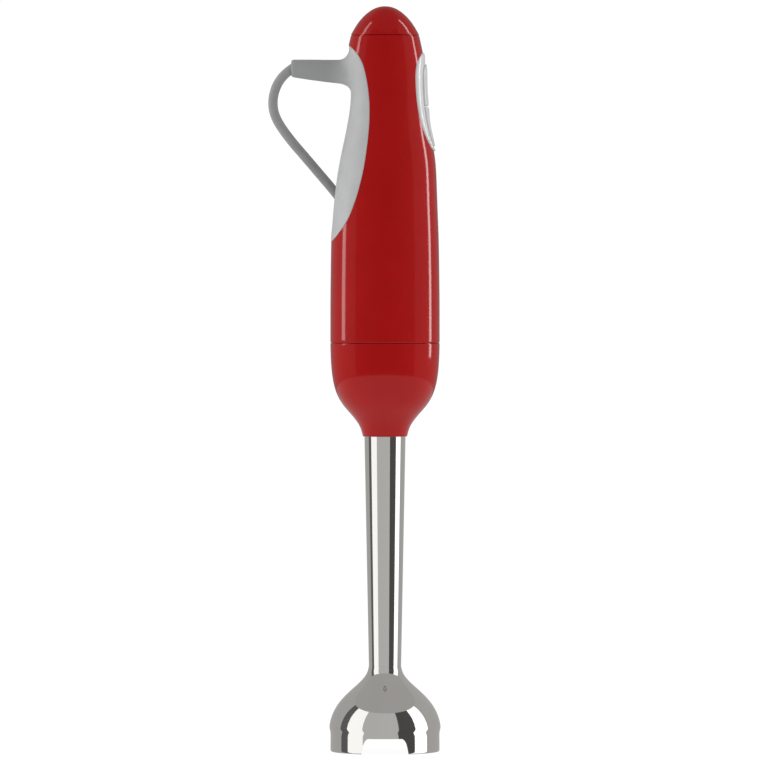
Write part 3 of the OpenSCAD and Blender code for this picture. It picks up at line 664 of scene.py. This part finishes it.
# ------------------------------------------------------------------ cord ----
def hank_path():
    """The stored length: two turns below, one above, then up and over to the plug."""
    r1, r2 = 22.4, 16.8
    y1, y2 = HANK_Y1, HANK_Y2
    out = []

    def lap(r_from, r_to, z_from, z_to, r_at=(0.6, 0.25), z_at=(0.5, 0.3), n=36):
        """One turn, from the near side's left run, clockwise seen from above."""
        length_s = y2 - y1
        total = 2 * math.pi * (r_from + r_to) / 2 + 2 * length_s
        pts = []
        for i in range(n):
            t = i / n
            pts.append((t, total))
        for t, tot in pts:
            r = r_from + (r_to - r_from) * (0.5 - 0.5 * math.cos(math.pi * min(max((t - r_at[0]) / r_at[1], 0), 1)))
            z = z_from + (z_to - z_from) * (0.5 - 0.5 * math.cos(math.pi * min(max((t - z_at[0]) / z_at[1], 0), 1)))
            s = t * (2 * math.pi * r + 2 * length_s)
            if s < length_s:
                p = (-r, y1 + s)
            elif s < length_s + math.pi * r:
                a = (s - length_s) / r
                p = (-r * math.cos(a), y2 + r * math.sin(a))
            elif s < 2 * length_s + math.pi * r:
                p = (r, y2 - (s - length_s - math.pi * r))
            else:
                a = (s - 2 * length_s - math.pi * r) / r
                p = (r * math.cos(a), y1 - r * math.sin(a))
            out.append((p[0], p[1], z))

    z0 = 0.5 + 2.8
    z1 = z0 + 5.6
    lap(r1, r2, z0, z0)
    lap(r2, r2, z0, z1)
    lap(r2, r1, z1, z1, r_at=(0.45, 0.25))
    return out, z1


hank, z_top = hank_path()
# the last turn's end: up the left run, round the far end and on to the plug's tail
ending = [(-22.4, 124, z_top), (-22.4, 134, z_top), (-22.4, 146, z_top + 0.2), (-22.4, 156, z_top + 0.8),
          (-21.6, 164.5, z_top + 2.2), (-18.2, 171.8, z_top + 3.9), (-12.0, 177.0, z_top + 5.0),
          (-4.0, 179.0, z_top + 5.5), (4.2, 177.2, z_top + 5.6), (9.6, 172.4, z_top + 5.6), (11.3, 166.0, z_top + 5.6)]
coarse = [Vector(p) for p in CORD] + [Vector(p) for p in hank[1:]] + [Vector(p) for p in ending] + [Vector(p) for p in TAIL]
cord_line = catmull([tuple(p) for p in coarse], 4)
# even spacing, so that the tube's rings are regular
seg = np.linalg.norm(np.diff(cord_line, axis=0), axis=1)
keep = np.concatenate([[True], seg > 0.05])
cord_line = cord_line[keep]
s = np.concatenate([[0], np.cumsum(np.linalg.norm(np.diff(cord_line, axis=0), axis=1))])
CORD_LEN = float(s[-1])
u = np.linspace(0, s[-1], int(s[-1] / 1.5) + 1)
cord_line = np.stack([np.interp(u, s, cord_line[:, k]) for k in range(3)], 1)
for _ in range(3):
    cord_line[1:-1] = 0.5 * cord_line[1:-1] + 0.25 * (cord_line[:-2] + cord_line[2:])

cu = bpy.data.curves.new("mains_cord", "CURVE")
cu.dimensions = "3D"
cu.bevel_depth = CORD_D / 2 * MM
cu.bevel_resolution = 7
cu.use_fill_caps = True
sp = cu.splines.new("POLY")
sp.points.add(len(cord_line) - 1)
for i, p in enumerate(cord_line):
    sp.points[i].co = (*(p * MM), 1.0)
sp.use_smooth = True
cord = bpy.data.objects.new("mains_cord", cu)
scene.collection.objects.link(cord)
cu.materials.append(M["cord_grey"])
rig.slot(cord, "cord_grey")
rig.ride(cord, "motor_unit")
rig.replaces(cord, "power_cord", "cord_hank", "cord_tail")
print("cord length mm", round(CORD_LEN, 1))


# ------------------------------------------------------- main red housing ----
def house(z):
    return float(front(z))


def housing():
    zs = np.concatenate([np.arange(221.6, 385.6, 1.15), [385.6]])
    outer = [(float(front(z)), z) for z in zs]
    wall = 2.2
    bottom = [(float(front(220.8)) - wall, 220.8), (float(front(220.8)) - 0.55, 220.8),
              (float(front(220.8)) - 0.16, 220.96), (float(front(220.8)) - 0.02, 221.25)]
    rt = float(front(386.2))
    top = [(rt + 0.0, 386.1), (rt - 0.1, 386.35), (rt - 0.35, 386.45), (rt - wall, 386.45),
           (rt - wall, 383.8), (7.3, 383.8), (7.0, 383.5), (7.0, 381.9), (7.3, 381.6),
           (float(front(381.6)) - wall, 381.6)]
    inner = [(float(front(z)) - wall, z) for z in np.arange(380, 221.5, -2.2)]
    v, f = lathe(bottom + outer + top + inner, 224)
    o = mesh_object("housing", v, f, smooth=False)
    zc = np.concatenate([[EDGE_Z0 - 0.3], np.linspace(EDGE_Z0, EDGE_Z1, 150), [EDGE_Z1 + 0.3]])
    cut = [(float(edge_side(z)) + 0.02, z) for z in zc] + [(-45, EDGE_Z1 + 0.3), (-45, EDGE_Z0 - 0.3)]
    boolean(o, prism("cut_grip", cut, "y", -45, 45))
    ring = oval(BEZEL, -0.35)
    boolean(o, prism("cut_bezel", ring[::-1], "x", 9, 45))
    shade(o, 32)
    return o


edge_ext = [(274.4, -29.9)] + EDGE + [(381.9, -20.4)]
edge_side = eased(edge_ext, 0.7, 8)


def alpha_of(z):
    r = float(front(z))
    return math.acos(min(max(-float(edge_side(z)) / r, -1), 1))


zz = np.linspace(274.4, 381.9, 4000)
ok = np.array([-edge_side(z) < front(z) for z in zz])
EDGE_Z0, EDGE_Z1 = float(zz[ok][0]), float(zz[ok][-1])


def grip_curve(z, tau):
    """The grip's section at height z: tau 0 at its edge on the body, 1 at the back. Returns x, |y| and the outward normal."""
    r = float(front(z))
    a = alpha_of(z)
    lb = float(back(z)) if z > 262 else r
    e = np.array([-r * math.cos(a), r * math.sin(a)])
    k = 4 / 3 * math.tan(a / 4)
    p1 = e + k * (r + lb) / 2 * np.array([-math.sin(a), -math.cos(a)])
    p3 = np.array([-lb, 0.0])
    p2 = np.array([-lb, k * (r + lb) / 2])
    t = np.asarray(tau, float)[..., None]
    p = (1 - t) ** 3 * e + 3 * t * (1 - t) ** 2 * p1 + 3 * t * t * (1 - t) * p2 + t**3 * p3
    d = 3 * (1 - t) ** 2 * (p1 - e) + 6 * t * (1 - t) * (p2 - p1) + 3 * t * t * (p3 - p2)
    ln = np.linalg.norm(d, axis=-1, keepdims=True)
    ln[ln < 1e-9] = 1
    d = d / ln
    nrm = np.stack([d[..., 1], -d[..., 0]], -1)
    flip = np.sign(np.sum(nrm * p, -1, keepdims=True))
    flip[flip == 0] = 1
    return p, nrm * flip


def grip():
    K = 30                       # columns from the edge to the middle
    near = np.array([0, 0.05, 0.12, 0.22, 0.36, 0.55, 0.8, 1.15, 1.7, 2.5, 3.6])
    mid = np.linspace(0, 1, 200)
    th = np.linspace(0, math.pi, 150)
    zs = EDGE_Z0 + (EDGE_Z1 - EDGE_Z0) * (1 - np.cos(th)) / 2
    zs = zs[1:-1]
    rows = []
    half = []
    for z in zs:
        pts, _ = grip_curve(z, mid)
        half.append(float(np.sum(np.linalg.norm(np.diff(pts, axis=0), axis=1))))
    half = np.array(half)
    outline = np.concatenate([np.stack([half, zs], 1), [[0, EDGE_Z1]],
                              np.stack([-half[::-1], zs[::-1]], 1), [[0, EDGE_Z0]]])
    a, b = outline, np.roll(outline, -1, 0)

    def dist(s, z):
        q = np.array([s, z])
        ab = b - a
        t = np.clip(np.sum((q - a) * ab, 1) / np.maximum(np.sum(ab * ab, 1), 1e-12), 0, 1)
        return float(np.min(np.linalg.norm(a + ab * t[:, None] - q, axis=1)))

    def lift(d):
        lip = 0.34 * math.sqrt(max(0.0, 1 - (1 - min(d / 0.5, 1)) ** 2)) - 0.04
        fade = min(max((d - 2) / 9, 0), 1)
        fade = fade * fade * (3 - 2 * fade)
        return lip * (1 - fade)

    def row(z, s_half, depth):
        """One row of points from +edge over the back to -edge."""
        pts, nr = grip_curve(z, mid)
        arc = np.concatenate([[0], np.cumsum(np.linalg.norm(np.diff(pts, axis=0), axis=1))])
        d_cols = list(near)
        while len(d_cols) < K + 1:
            d_cols.append(d_cols[-1] + (max(s_half, 3.7) - d_cols[-1]) / (K + 1 - len(d_cols)))
        f = np.minimum(np.array(d_cols) / max(s_half, 1e-6), np.arange(K + 1) / K)
        f[-1] = 1.0
        out = []
        for side in (1, -1):
            cols = f if side == 1 else f[::-1][1:]
            for q in cols:
                sd = q * s_half
                x = np.interp(sd, arc, pts[:, 0])
                y = np.interp(sd, arc, pts[:, 1])
                nx = np.interp(sd, arc, nr[:, 0])
                ny = np.interp(sd, arc, nr[:, 1])
                h = lift(dist(s_half - sd, z)) if depth == 0 else -depth
                out.append((x + nx * h, side * (y + ny * h), z))
        return out

    outer = [row(z, s, 0) for z, s in zip(zs, half)]
    inner = [row(z, s, 2.1) for z, s in zip(zs, half)]
    nrow, ncol = len(outer), len(outer[0])
    verts = [p for r_ in outer for p in r_] + [p for r_ in inner for p in r_]
    n0 = nrow * ncol
    faces = []
    for i in range(nrow - 1):
        for j in range(ncol - 1):
            q = (i * ncol + j, i * ncol + j + 1, (i + 1) * ncol + j + 1, (i + 1) * ncol + j)
            faces.append(q)
            faces.append(tuple(n0 + k for k in reversed(q)))
        for j in (0, ncol - 1):
            faces.append((i * ncol + j, (i + 1) * ncol + j, n0 + (i + 1) * ncol + j, n0 + i * ncol + j))
    # the two tips: close each end row across
    for i in (0, nrow - 1):
        for j in range(ncol - 1):
            faces.append((i * ncol + j, i * ncol + j + 1, n0 + i * ncol + j + 1, n0 + i * ncol + j))
    return mesh_object("grip", np.array(verts), faces, sharp=50)


def grip_x(y, z):
    mid = np.linspace(0, 1, 160)
    pts, _ = grip_curve(z, mid)
    return float(np.interp(-abs(y), -pts[:, 1], pts[:, 0]))


def relief():
    n = 96
    psi = np.linspace(0, 2 * math.pi, n, endpoint=False)
    zc = Smooth([(-51, 368.93), (-45, 368.45), (-39, 368.0), (-30.5, 367.4), (-25, 367.1), (-17, 366.7)])
    rad = Smooth([(-51, 4.8), (-49, 4.86), (-45, 5.15), (-39, 5.58), (-30.5, 6.08), (-25, 6.4)])

    def ring(x, r):
        c = float(zc(x))
        return [(x, r * math.sin(a), c + r * math.cos(a)) for a in psi]

    rings = [ring(-16.5, 2.9), ring(-49.9, 2.9), ring(-50.35, 3.0), ring(-50.55, 3.3)]
    for x, r in ((-50.62, 3.6), (-50.5, 4.05), (-50.2, 4.4), (-49.75, 4.65), (-49.1, 4.8)):
        rings.append(ring(x, r))
    for x in np.linspace(-48.4, -25, 30):
        rings.append(ring(float(x), float(rad(x))))
    zf, bh, aw = 367.85, 12.4, 11.6

    def foot(k):
        return np.array([(grip_x(aw * k * math.sin(a), zf + bh * k * math.cos(a)),
                          aw * k * math.sin(a), zf + bh * k * math.cos(a)) for a in psi])

    f1, f2 = foot(1.0), foot(1.04)
    t1 = f2 - f1
    t1 /= np.linalg.norm(t1, axis=1)[:, None]
    p0 = np.array(rings[-1])
    t0 = np.array(ring(-24.5, 6.43)) - np.array(ring(-25.5, 6.37))
    t0 /= np.linalg.norm(t0, axis=1)[:, None]
    dist = np.linalg.norm(f1 - p0, axis=1)[:, None]
    m0, m1 = 1.15 * dist, 1.2 * dist
    for k in range(1, 27):
        t = k / 26
        h = ((2 * t**3 - 3 * t**2 + 1) * p0 + (t**3 - 2 * t**2 + t) * m0 * t0
             + (-2 * t**3 + 3 * t**2) * f1 + (t**3 - t**2) * m1 * t1)
        h[:, 0] += 0.0
        rings.append([tuple(q) for q in h])
    low = f2.copy()
    low[:, 0] += 0.5
    rings.append([tuple(q) for q in low])
    inner = foot(0.9)
    inner[:, 0] += 2.0
    rings.append([tuple(q) for q in inner])
    v = np.array([p for r_ in rings for p in r_])
    f = []
    m = len(rings)
    for i in range(m):
        k = (i + 1) % m
        for j in range(n):
            l = (j + 1) % n
            f.append((i * n + j, i * n + l, k * n + l, k * n + j))
    return mesh_object("strain_relief_boot", v, f, sharp=50)


def patch(yz, h):
    """Points on the body's front skin, h outside it, at the outline points (y, z)."""
    r = np.array([float(front(z)) for z in yz[:, 1]]) + h
    x = np.sqrt(np.maximum(r * r - yz[:, 0] ** 2, 0.01))
    return np.stack([x, yz[:, 0], yz[:, 1]], 1)


def loops_object(name, loops, cap_first=False, cap_last=False, sharp=40, wrap=False):
    n = len(loops[0])
    v = np.concatenate(loops)
    f = []
    m = len(loops)
    for i in range(m if wrap else m - 1):
        k = (i + 1) % m
        for j in range(n):
            l = (j + 1) % n
            f.append((i * n + j, i * n + l, k * n + l, k * n + j))
    if cap_first:
        f.append(tuple(range(n)))
    if cap_last:
        f.append(tuple((m - 1) * n + j for j in range(n))[::-1])
    return mesh_object(name, v, f, sharp=sharp)


def even(q, n):
    c = np.concatenate([q, q[:1]])
    s = np.concatenate([[0], np.cumsum(np.linalg.norm(np.diff(c, axis=0), axis=1))])
    u = np.linspace(0, s[-1], n, endpoint=False)
    return np.stack([np.interp(u, s, c[:, 0]), np.interp(u, s, c[:, 1])], 1)


def inset(q, d):
    """The closed outline moved inward by d, evenly spaced points, counter-clockwise or not."""
    t = np.roll(q, -1, 0) - np.roll(q, 1, 0)
    t /= np.linalg.norm(t, axis=1)[:, None]
    n = np.stack([-t[:, 1], t[:, 0]], 1)
    c = q.mean(0)
    if np.mean(np.sum((c - q) * n, 1)) < 0:
        n = -n
    return q + n * d


def bezel():
    n = 200
    out_ = even(oval(BEZEL, 0.0, 120), n)
    in_ = even(oval(ISLAND, 0.0, 120), n)
    # start both at the same place: the lowest point
    out_ = np.roll(out_, -int(np.argmin(out_[:, 1])), 0)
    in_ = np.roll(in_, -int(np.argmin(in_[:, 1])), 0)
    if (out_[5, 0] > 0) != (in_[5, 0] > 0):
        in_ = np.roll(in_[::-1], 1, 0)
    prof = [(0.0, -3.0), (0.0, -0.2), (0.0, 0.1), (0.012, 0.32), (0.04, 0.52), (0.08, 0.66),
            (0.14, 0.76), (0.22, 0.8), (0.32, 0.8), (0.42, 0.75), (0.52, 0.66), (0.62, 0.57),
            (0.72, 0.5), (0.82, 0.46), (0.9, 0.44), (0.95, 0.42), (0.985, 0.34), (1.0, 0.2),
            (1.0, -0.3), (1.0, -3.0)]
    loops = [patch(out_ * (1 - w) + in_ * w, h) for w, h in prof]
    return loops_object("panel_bezel", loops, wrap=True, sharp=45)


def button_mesh(name, z0, z1, stem_z):
    isl = oval(ISLAND, -0.4, 240)
    keep = isl[(isl[:, 1] > z0) & (isl[:, 1] < z1)]
    right = keep[keep[:, 0] >= 0]
    left = keep[keep[:, 0] < 0]
    right = right[np.argsort(right[:, 1])]
    left = left[np.argsort(-left[:, 1])]
    raw = np.concatenate([right, left])
    if z0 > 330:      # a straight lower end
        w = float(np.interp(z0, right[:, 1], right[:, 0]))
        raw = np.concatenate([[[-w, z0], [w, z0]], right, left])
    else:
        w = float(np.interp(z1, right[:, 1], right[:, 0]))
        raw = np.concatenate([right, [[w, z1], [-w, z1]], left])
    q = even(raw, 400)
    for _ in range(14):
        q = 0.5 * q + 0.25 * (np.roll(q, 1, 0) + np.roll(q, -1, 0))
    q = even(q, 160)
    prof = [(0.6, -3.6), (0.0, -3.4), (0.0, 0.1), (0.0, 0.55), (0.06, 0.78), (0.18, 0.95), (0.36, 1.06),
            (0.6, 1.1), (0.95, 1.11)]
    loops = [patch(inset(q, d), h) for d, h in prof]
    last = inset(q, 0.95)
    c = last.mean(0)
    for k in (0.86, 0.72, 0.58, 0.44, 0.3, 0.16, 0.06):
        # a shallow finger dip in the middle
        dip = 0.28 * (1 - k * k) ** 2
        loops.append(patch(c + (last - c) * k, 1.11 - dip))
    o = loops_object(name, loops, cap_first=True, cap_last=True, sharp=45)
    # the stem that reaches in to its switch
    v, f = lathe([(0.01, 0), (2.35, 0), (2.7, 0.35), (2.7, float(front(stem_z)) - 3.3 - 10.4),
                  (0.01, float(front(stem_z)) - 3.3 - 10.4)], 48, closed=False)
    v = np.stack([v[:, 2] + 10.4, v[:, 1], v[:, 0] + stem_z], 1)
    s_ = mesh_object(name + "_stem", v, f, sharp=40)
    return o, s_


def dial():
    z0 = 386.6
    dome = [(0, 15.8), (2, 15.7), (4, 15.25), (6.3, 14.3), (8.4, 13), (10.2, 11.6), (11.7, 10.2),
            (13, 8.8), (14.2, 7.3), (15.2, 5.9), (16.1, 4.5), (16.9, 3.2), (17.55, 2), (18.1, 0.9)]
    fit = eased([(r, h) for r, h in dome], 0.35, 20)
    rr = np.concatenate([np.linspace(0.02, 16.9, 58), np.linspace(17.05, 18.05, 9)])
    outer = [(float(r), z0 + float(fit(r))) for r in rr]
    outer += [(18.3, z0 + 0.5), (18.4, z0 + 0.26), (18.33, z0 + 0.08), (18.05, z0)]
    inner = [(15.9, z0), (15.9, 384.85), (15.65, 384.6), (14.45, 384.6), (14.2, 384.85), (14.2, z0 + 2.2),
             (14.0, z0 + 5.1), (12.5, z0 + 7.1), (10.0, z0 + 9.6), (7.4, z0 + 11.7), (6.4, z0 + 12.2),
             (6.4, 381.5), (6.4, 381.05), (5.6, 381.05), (5.6, 379.75), (6.4, 379.75), (6.4, 377.0), (6.0, 376.6),
             (3.4, 376.6), (3.05, 376.95), (3.05, 384.6), (0.02, 384.6)]
    v, f = lathe(outer + inner, 192, closed=False)
    return mesh_object("dial_cap", v, f, sharp=36)


def collar():
    fit = eased(COLLAR, 0.7, 12)
    zs = np.concatenate([np.linspace(170.9, 219.9, 110)])
    outer = [(float(fit(z)), z) for z in zs]
    low = [(11.25, 170.2), (11.75, 170.2), (11.98, 170.3), (12.14, 170.55)]
    top = [(29.49, 220.38), (29.4, 220.58), (29.2, 220.66), (27.2, 220.66)]
    inner = [(max(float(fit(z)) - 2.2, 11.25), z) for z in np.linspace(219.6, 172, 60)]
    v, f = lathe(low + outer + top + inner, 224)
    return mesh_object("collar_shell", v, f, sharp=36)


def tube():
    def r(z):
        return 8.7 + 2.4 * (z - 46) / 124
    zs = np.linspace(46.02, 170, 90)
    prof = [(r(z), z) for z in zs] + [(11.1, 176), (11.1, 183.7), (10.9, 184), (10.5, 184), (10.3, 183.7), (10.3, 170)]
    prof += [(r(z) - 0.8, z) for z in np.linspace(169, 46.02, 40)]
    v, f = lathe(prof, 192)
    return mesh_object("leg_tube", v, f, sharp=36)


def bell_radius():
    hi = eased([q for q in BELL if q[0] >= 16], 0.5, 26)
    lo = eased([(0.9, 29.47), (4, 29.47), (7.5, 29.43), (9.8, 29.44), (11.2, 29.66), (12.2, 29.93), (13.1, 30.04),
                (14.0, 30.0), (14.9, 29.86), (16.5, 29.53), (18.1, 29.13)], 0.25, 8)

    def r_out(z):
        if z < 16.2:
            return float(lo(z))
        if z > 17.8:
            return float(hi(z))
        k = (z - 16.2) / 1.6
        return float(lo(z)) * (1 - k) + float(hi(z)) * k

    return r_out


def bell():
    r_out = bell_radius()
    zs = np.concatenate([np.linspace(1.3, 10.6, 14), np.linspace(11.0, 15.2, 15), np.linspace(15.7, 45.3, 62), [46.0]])
    outer = []
    for z in zs:
        r = r_out(z) if z < 44 else float(np.interp(z, [44, 46], [r_out(44), 8.7]))
        outer.append((r, float(z)))
    rim = [(28.35, 0.25), (28.75, 0.0), (28.95, 0.03), (29.2, 0.18), (29.38, 0.45), (29.46, 0.85)]
    ins = []
    for z in np.linspace(46, 42, 5):
        ins.append((7.6, float(z)))
    for z in np.linspace(41, 15, 44):
        d = (r_out(z + 0.4) - r_out(z - 0.4)) / 0.8
        ins.append((max(r_out(z) - 1.2 * math.sqrt(1 + d * d), 7.6), float(z)))
    ins += [(28.45, 13.5), (28.1, 11), (28.1, 6), (28.2, 1.2)]
    v, f = lathe(rim + outer + ins, 240, start=math.pi / 240)
    o = mesh_object("bell", v, f, smooth=False)
    hgt = 8.4
    half = [(12.75, -1), (12.5, 0.8), (12.1, 3.1), (11.6, 5.1), (11.05, 6.5), (10.35, 7.55), (9.4, 8.3)]
    right = catmull(half + [(8.8, hgt - 0.02)], 6)
    outl = [tuple(q) for q in right] + [(0, hgt)] + [(-x, z) for x, z in right[::-1]]
    cut = prism("cut_notch", outl, "y", -45, 45)
    boolean(o, cut)
    return o


# ------------------------------------------------------------ put together ----
o_house = piece(housing(), "red_shell", "motor_unit", "main_housing")
o_grip = piece(grip(), "soft_grip", "motor_unit", "rear_grip")
o_relief = piece(relief(), "relief_grey", "motor_unit", "strain_relief")
o_bezel = piece(bezel(), "bright_rim", "motor_unit", "switch_bezel")
b1, s1 = button_mesh("power_cap", 320.0, SPLIT - 0.3, 340.5)
b2, s2 = button_mesh("turbo_cap", SPLIT + 0.3, 380.0, 356.5)
piece(b1, "silver_plastic", "power_key", "power_button")
piece(s1, "silver_plastic", "power_key")
piece(b2, "silver_plastic", "turbo_key", "turbo_button")
piece(s2, "silver_plastic", "turbo_key")
piece(dial(), "red_shell", "dial", "speed_dial")
piece(collar(), "red_shell", "leg", "leg_collar")
piece(tube(), "steel", "leg", "shaft_tube")
o_bell = bell()
shade(o_bell, 32)
piece(o_bell, "steel", "leg", "bell_guard")

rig.cord(cord, exit=(-0.0509, 0.0, 0.3682), length=CORD_LEN * MM, diameter=CORD_D * MM, far_end="plug",
        stiffness="medium", lay="hank" if "hank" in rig.LAYS else "coiled" if "coiled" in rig.LAYS else "loose",
        with_pieces=[o_relief, nodes["cord_inner"], nodes["cord_tie"], nodes["plug_body"], nodes["plug_blades"]])

# ------------------------------------------------------------------ stage ----


def stage_mat(name):
    m = bpy.data.materials.new(name)
    m.use_nodes = True
    m.node_tree.nodes.clear()
    return m, m.node_tree


floor_me = bpy.data.meshes.new("floor")
bm = bmesh.new()
bmesh.ops.create_circle(bm, cap_ends=True, segments=128, radius=0.9)
bm.to_mesh(floor_me)
bm.free()
floor = bpy.data.objects.new("floor", floor_me)
scene.collection.objects.link(floor)
floor.location = (0, 0, -0.0002)
fm, fnt = stage_mat("floor")
fo = fnt.nodes.new("ShaderNodeOutputMaterial")
fd = fnt.nodes.new("ShaderNodeBsdfDiffuse")
fd.inputs["Color"].default_value = (0.07, 0.07, 0.07, 1)
fe = fnt.nodes.new("ShaderNodeEmission")
fe.inputs["Strength"].default_value = 0.97
fa = fnt.nodes.new("ShaderNodeAddShader")
fnt.links.new(fd.outputs[0], fa.inputs[0])
fnt.links.new(fe.outputs[0], fa.inputs[1])
fnt.links.new(fa.outputs[0], fo.inputs["Surface"])
fm.cycles.emission_sampling = "NONE"
floor_me.materials.append(fm)

# Shader node helpers, and plain, evenly lit cards that only mirror-like reflections see.
def math_node(nt, op, a, b=None, clamp=False):
    n = nt.nodes.new("ShaderNodeMath")
    n.operation = op
    n.use_clamp = clamp
    for i, q in enumerate((a, b)):
        if q is None:
            continue
        if isinstance(q, (int, float)):
            n.inputs[i].default_value = q
        else:
            nt.links.new(q, n.inputs[i])
    return n.outputs[0]


def vec_node(nt, op, a, b=None):
    n = nt.nodes.new("ShaderNodeVectorMath")
    n.operation = op
    for i, q in enumerate((a, b)):
        if q is None:
            continue
        if isinstance(q, tuple):
            n.inputs[i].default_value = q
        else:
            nt.links.new(q, n.inputs[i])
    return n.outputs[0]


def step(nt, v, lo, hi):
    mr = nt.nodes.new("ShaderNodeMapRange")
    mr.interpolation_type = "SMOOTHSTEP"
    mr.inputs["From Min"].default_value = lo
    mr.inputs["From Max"].default_value = hi
    nt.links.new(v, mr.inputs["Value"])
    return mr.outputs["Result"]


def mix_col(nt, fac, a, b):
    m = nt.nodes.new("ShaderNodeMix")
    m.data_type = "RGBA"
    if isinstance(fac, (int, float)):
        m.inputs["Factor"].default_value = fac
    else:
        nt.links.new(fac, m.inputs["Factor"])
    for i, q in ((6, a), (7, b)):
        if hasattr(q, "is_linked"):
            nt.links.new(q, m.inputs[i])
        else:
            m.inputs[i].default_value = (*q, 1) if len(q) == 3 else q
    return m.outputs[2]


def card(name, az0, az1, radius, z0, z1, strength):
    """One plain, evenly lit studio card, curved round the object; az is in degrees from the front."""
    n = max(2, int(abs(az1 - az0) / 4))
    v, f = [], []
    for i in range(n + 1):
        a_ = math.radians(az0 + (az1 - az0) * i / n)
        v += [(radius * math.sin(a_), -radius * math.cos(a_), z) for z in (z0, z1)]
    for i in range(n):
        f.append((2 * i, 2 * i + 2, 2 * i + 3, 2 * i + 1))
    return plain(name, v, f, strength)


def flat_card(name, r0, r1, z, strength, n=96):
    """A plain overhead card with a hole in it."""
    v, f = [], []
    for i in range(n):
        a_ = 2 * math.pi * i / n
        v += [(r * math.cos(a_), r * math.sin(a_), z) for r in (r0, r1)]
    for i in range(n):
        j = (i + 1) % n
        f.append((2 * i, 2 * i + 1, 2 * j + 1, 2 * j))
    return plain(name, v, f, strength)


def plain(name, v, f, strength):
    me = bpy.data.meshes.new(name)
    me.from_pydata(v, [], f)
    o = bpy.data.objects.new(name, me)
    scene.collection.objects.link(o)
    m, nt = stage_mat(name)
    out_ = nt.nodes.new("ShaderNodeOutputMaterial")
    em = nt.nodes.new("ShaderNodeEmission")
    em.inputs["Color"].default_value = (1.0, 0.99, 0.97, 1)
    em.inputs["Strength"].default_value = strength
    nt.links.new(em.outputs[0], out_.inputs["Surface"])
    m.cycles.emission_sampling = "NONE"
    me.materials.append(m)
    o.visible_camera = False
    o.visible_diffuse = False
    o.visible_shadow = False
    return o


# two white softboxes with a dark flag beside each, grey card elsewhere
cards = [card("card_front", -47, 28, 0.6, -0.5, 1.6, 0.55), card("flag_right", 28, 65, 0.6, -0.5, 1.6, 0.08),
         card("softbox_right", 65, 98, 0.6, -0.5, 1.6, 1.7), card("card_back", 98, 256, 0.6, -0.5, 1.6, 0.45),
         card("flag_left", -104, -84, 0.6, -0.5, 1.6, 0.12), card("softbox_left", -84, -47, 0.6, -0.5, 1.6, 1.3),
         flat_card("card_under", 0.0113, 0.15, 0.1702, 0.42)]
# the red body has its own dark cards and two strip lights
cards += [card("dark_front", -60, 60, 0.15, 0.1702, 0.6, 0.05), card("side_right", 60, 180, 0.15, 0.1702, 0.6, 0.2),
          card("side_left", -180, -60, 0.15, 0.1702, 0.6, 0.2), card("strip_right", 98.5, 105.5, 0.145, 0.205, 0.6, 5.0),
          card("strip_left", -94.5, -85, 0.145, 0.219, 0.6, 3.2), flat_card("card_top", 0.0, 0.15, 0.6, 0.14)]
floor.visible_glossy = False
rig.stage(floor, *cards)

# world: white to the camera, soft light to everything else
w = bpy.data.worlds.new("studio")
scene.world = w
w.use_nodes = True
wnt = w.node_tree
wnt.nodes.clear()
wo = wnt.nodes.new("ShaderNodeOutputWorld")
bg = wnt.nodes.new("ShaderNodeBackground")
bg_cam = wnt.nodes.new("ShaderNodeBackground")
bg_cam.inputs["Color"].default_value = (1, 1, 1, 1)
bg_cam.inputs["Strength"].default_value = 1.02
lp = wnt.nodes.new("ShaderNodeLightPath")
ms = wnt.nodes.new("ShaderNodeMixShader")
wnt.links.new(lp.outputs["Is Camera Ray"], ms.inputs["Fac"])
wnt.links.new(bg.outputs[0], ms.inputs[1])
wnt.links.new(bg_cam.outputs[0], ms.inputs[2])
wnt.links.new(ms.outputs[0], wo.inputs["Surface"])
wtc = wnt.nodes.new("ShaderNodeTexCoord")
wsep = wnt.nodes.new("ShaderNodeSeparateXYZ")
wnt.links.new(wtc.outputs["Generated"], wsep.inputs["Vector"])
xx = math_node(wnt, "MULTIPLY", wsep.outputs["X"], wsep.outputs["X"])
side = math_node(wnt, "ADD", math_node(wnt, "MULTIPLY", xx, 1.85), 0.44)
low_ = step(wnt, wsep.outputs["Z"], -0.35, 0.15)
amt = math_node(wnt, "MULTIPLY", side, math_node(wnt, "ADD", math_node(wnt, "MULTIPLY", low_, 0.5), 0.5))
wnt.links.new(amt, bg.inputs["Strength"])
bg.inputs["Color"].default_value = (1, 0.995, 0.985, 1)

box_now = [[1e9] * 3, [-1e9] * 3]
bpy.context.view_layer.update()
dg = bpy.context.evaluated_depsgraph_get()
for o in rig.pieces():
    ev = o.evaluated_get(dg)
    for c in ev.bound_box:
        p = o.matrix_world @ Vector(c)
        for k in range(3):
            box_now[0][k] = min(box_now[0][k], p[k])
            box_now[1][k] = max(box_now[1][k], p[k])
with open("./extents.json", "w") as fh:
    json.dump({"cad": CAD_BOX, "visual": box_now}, fh)
print("boxes", CAD_BOX, box_now)
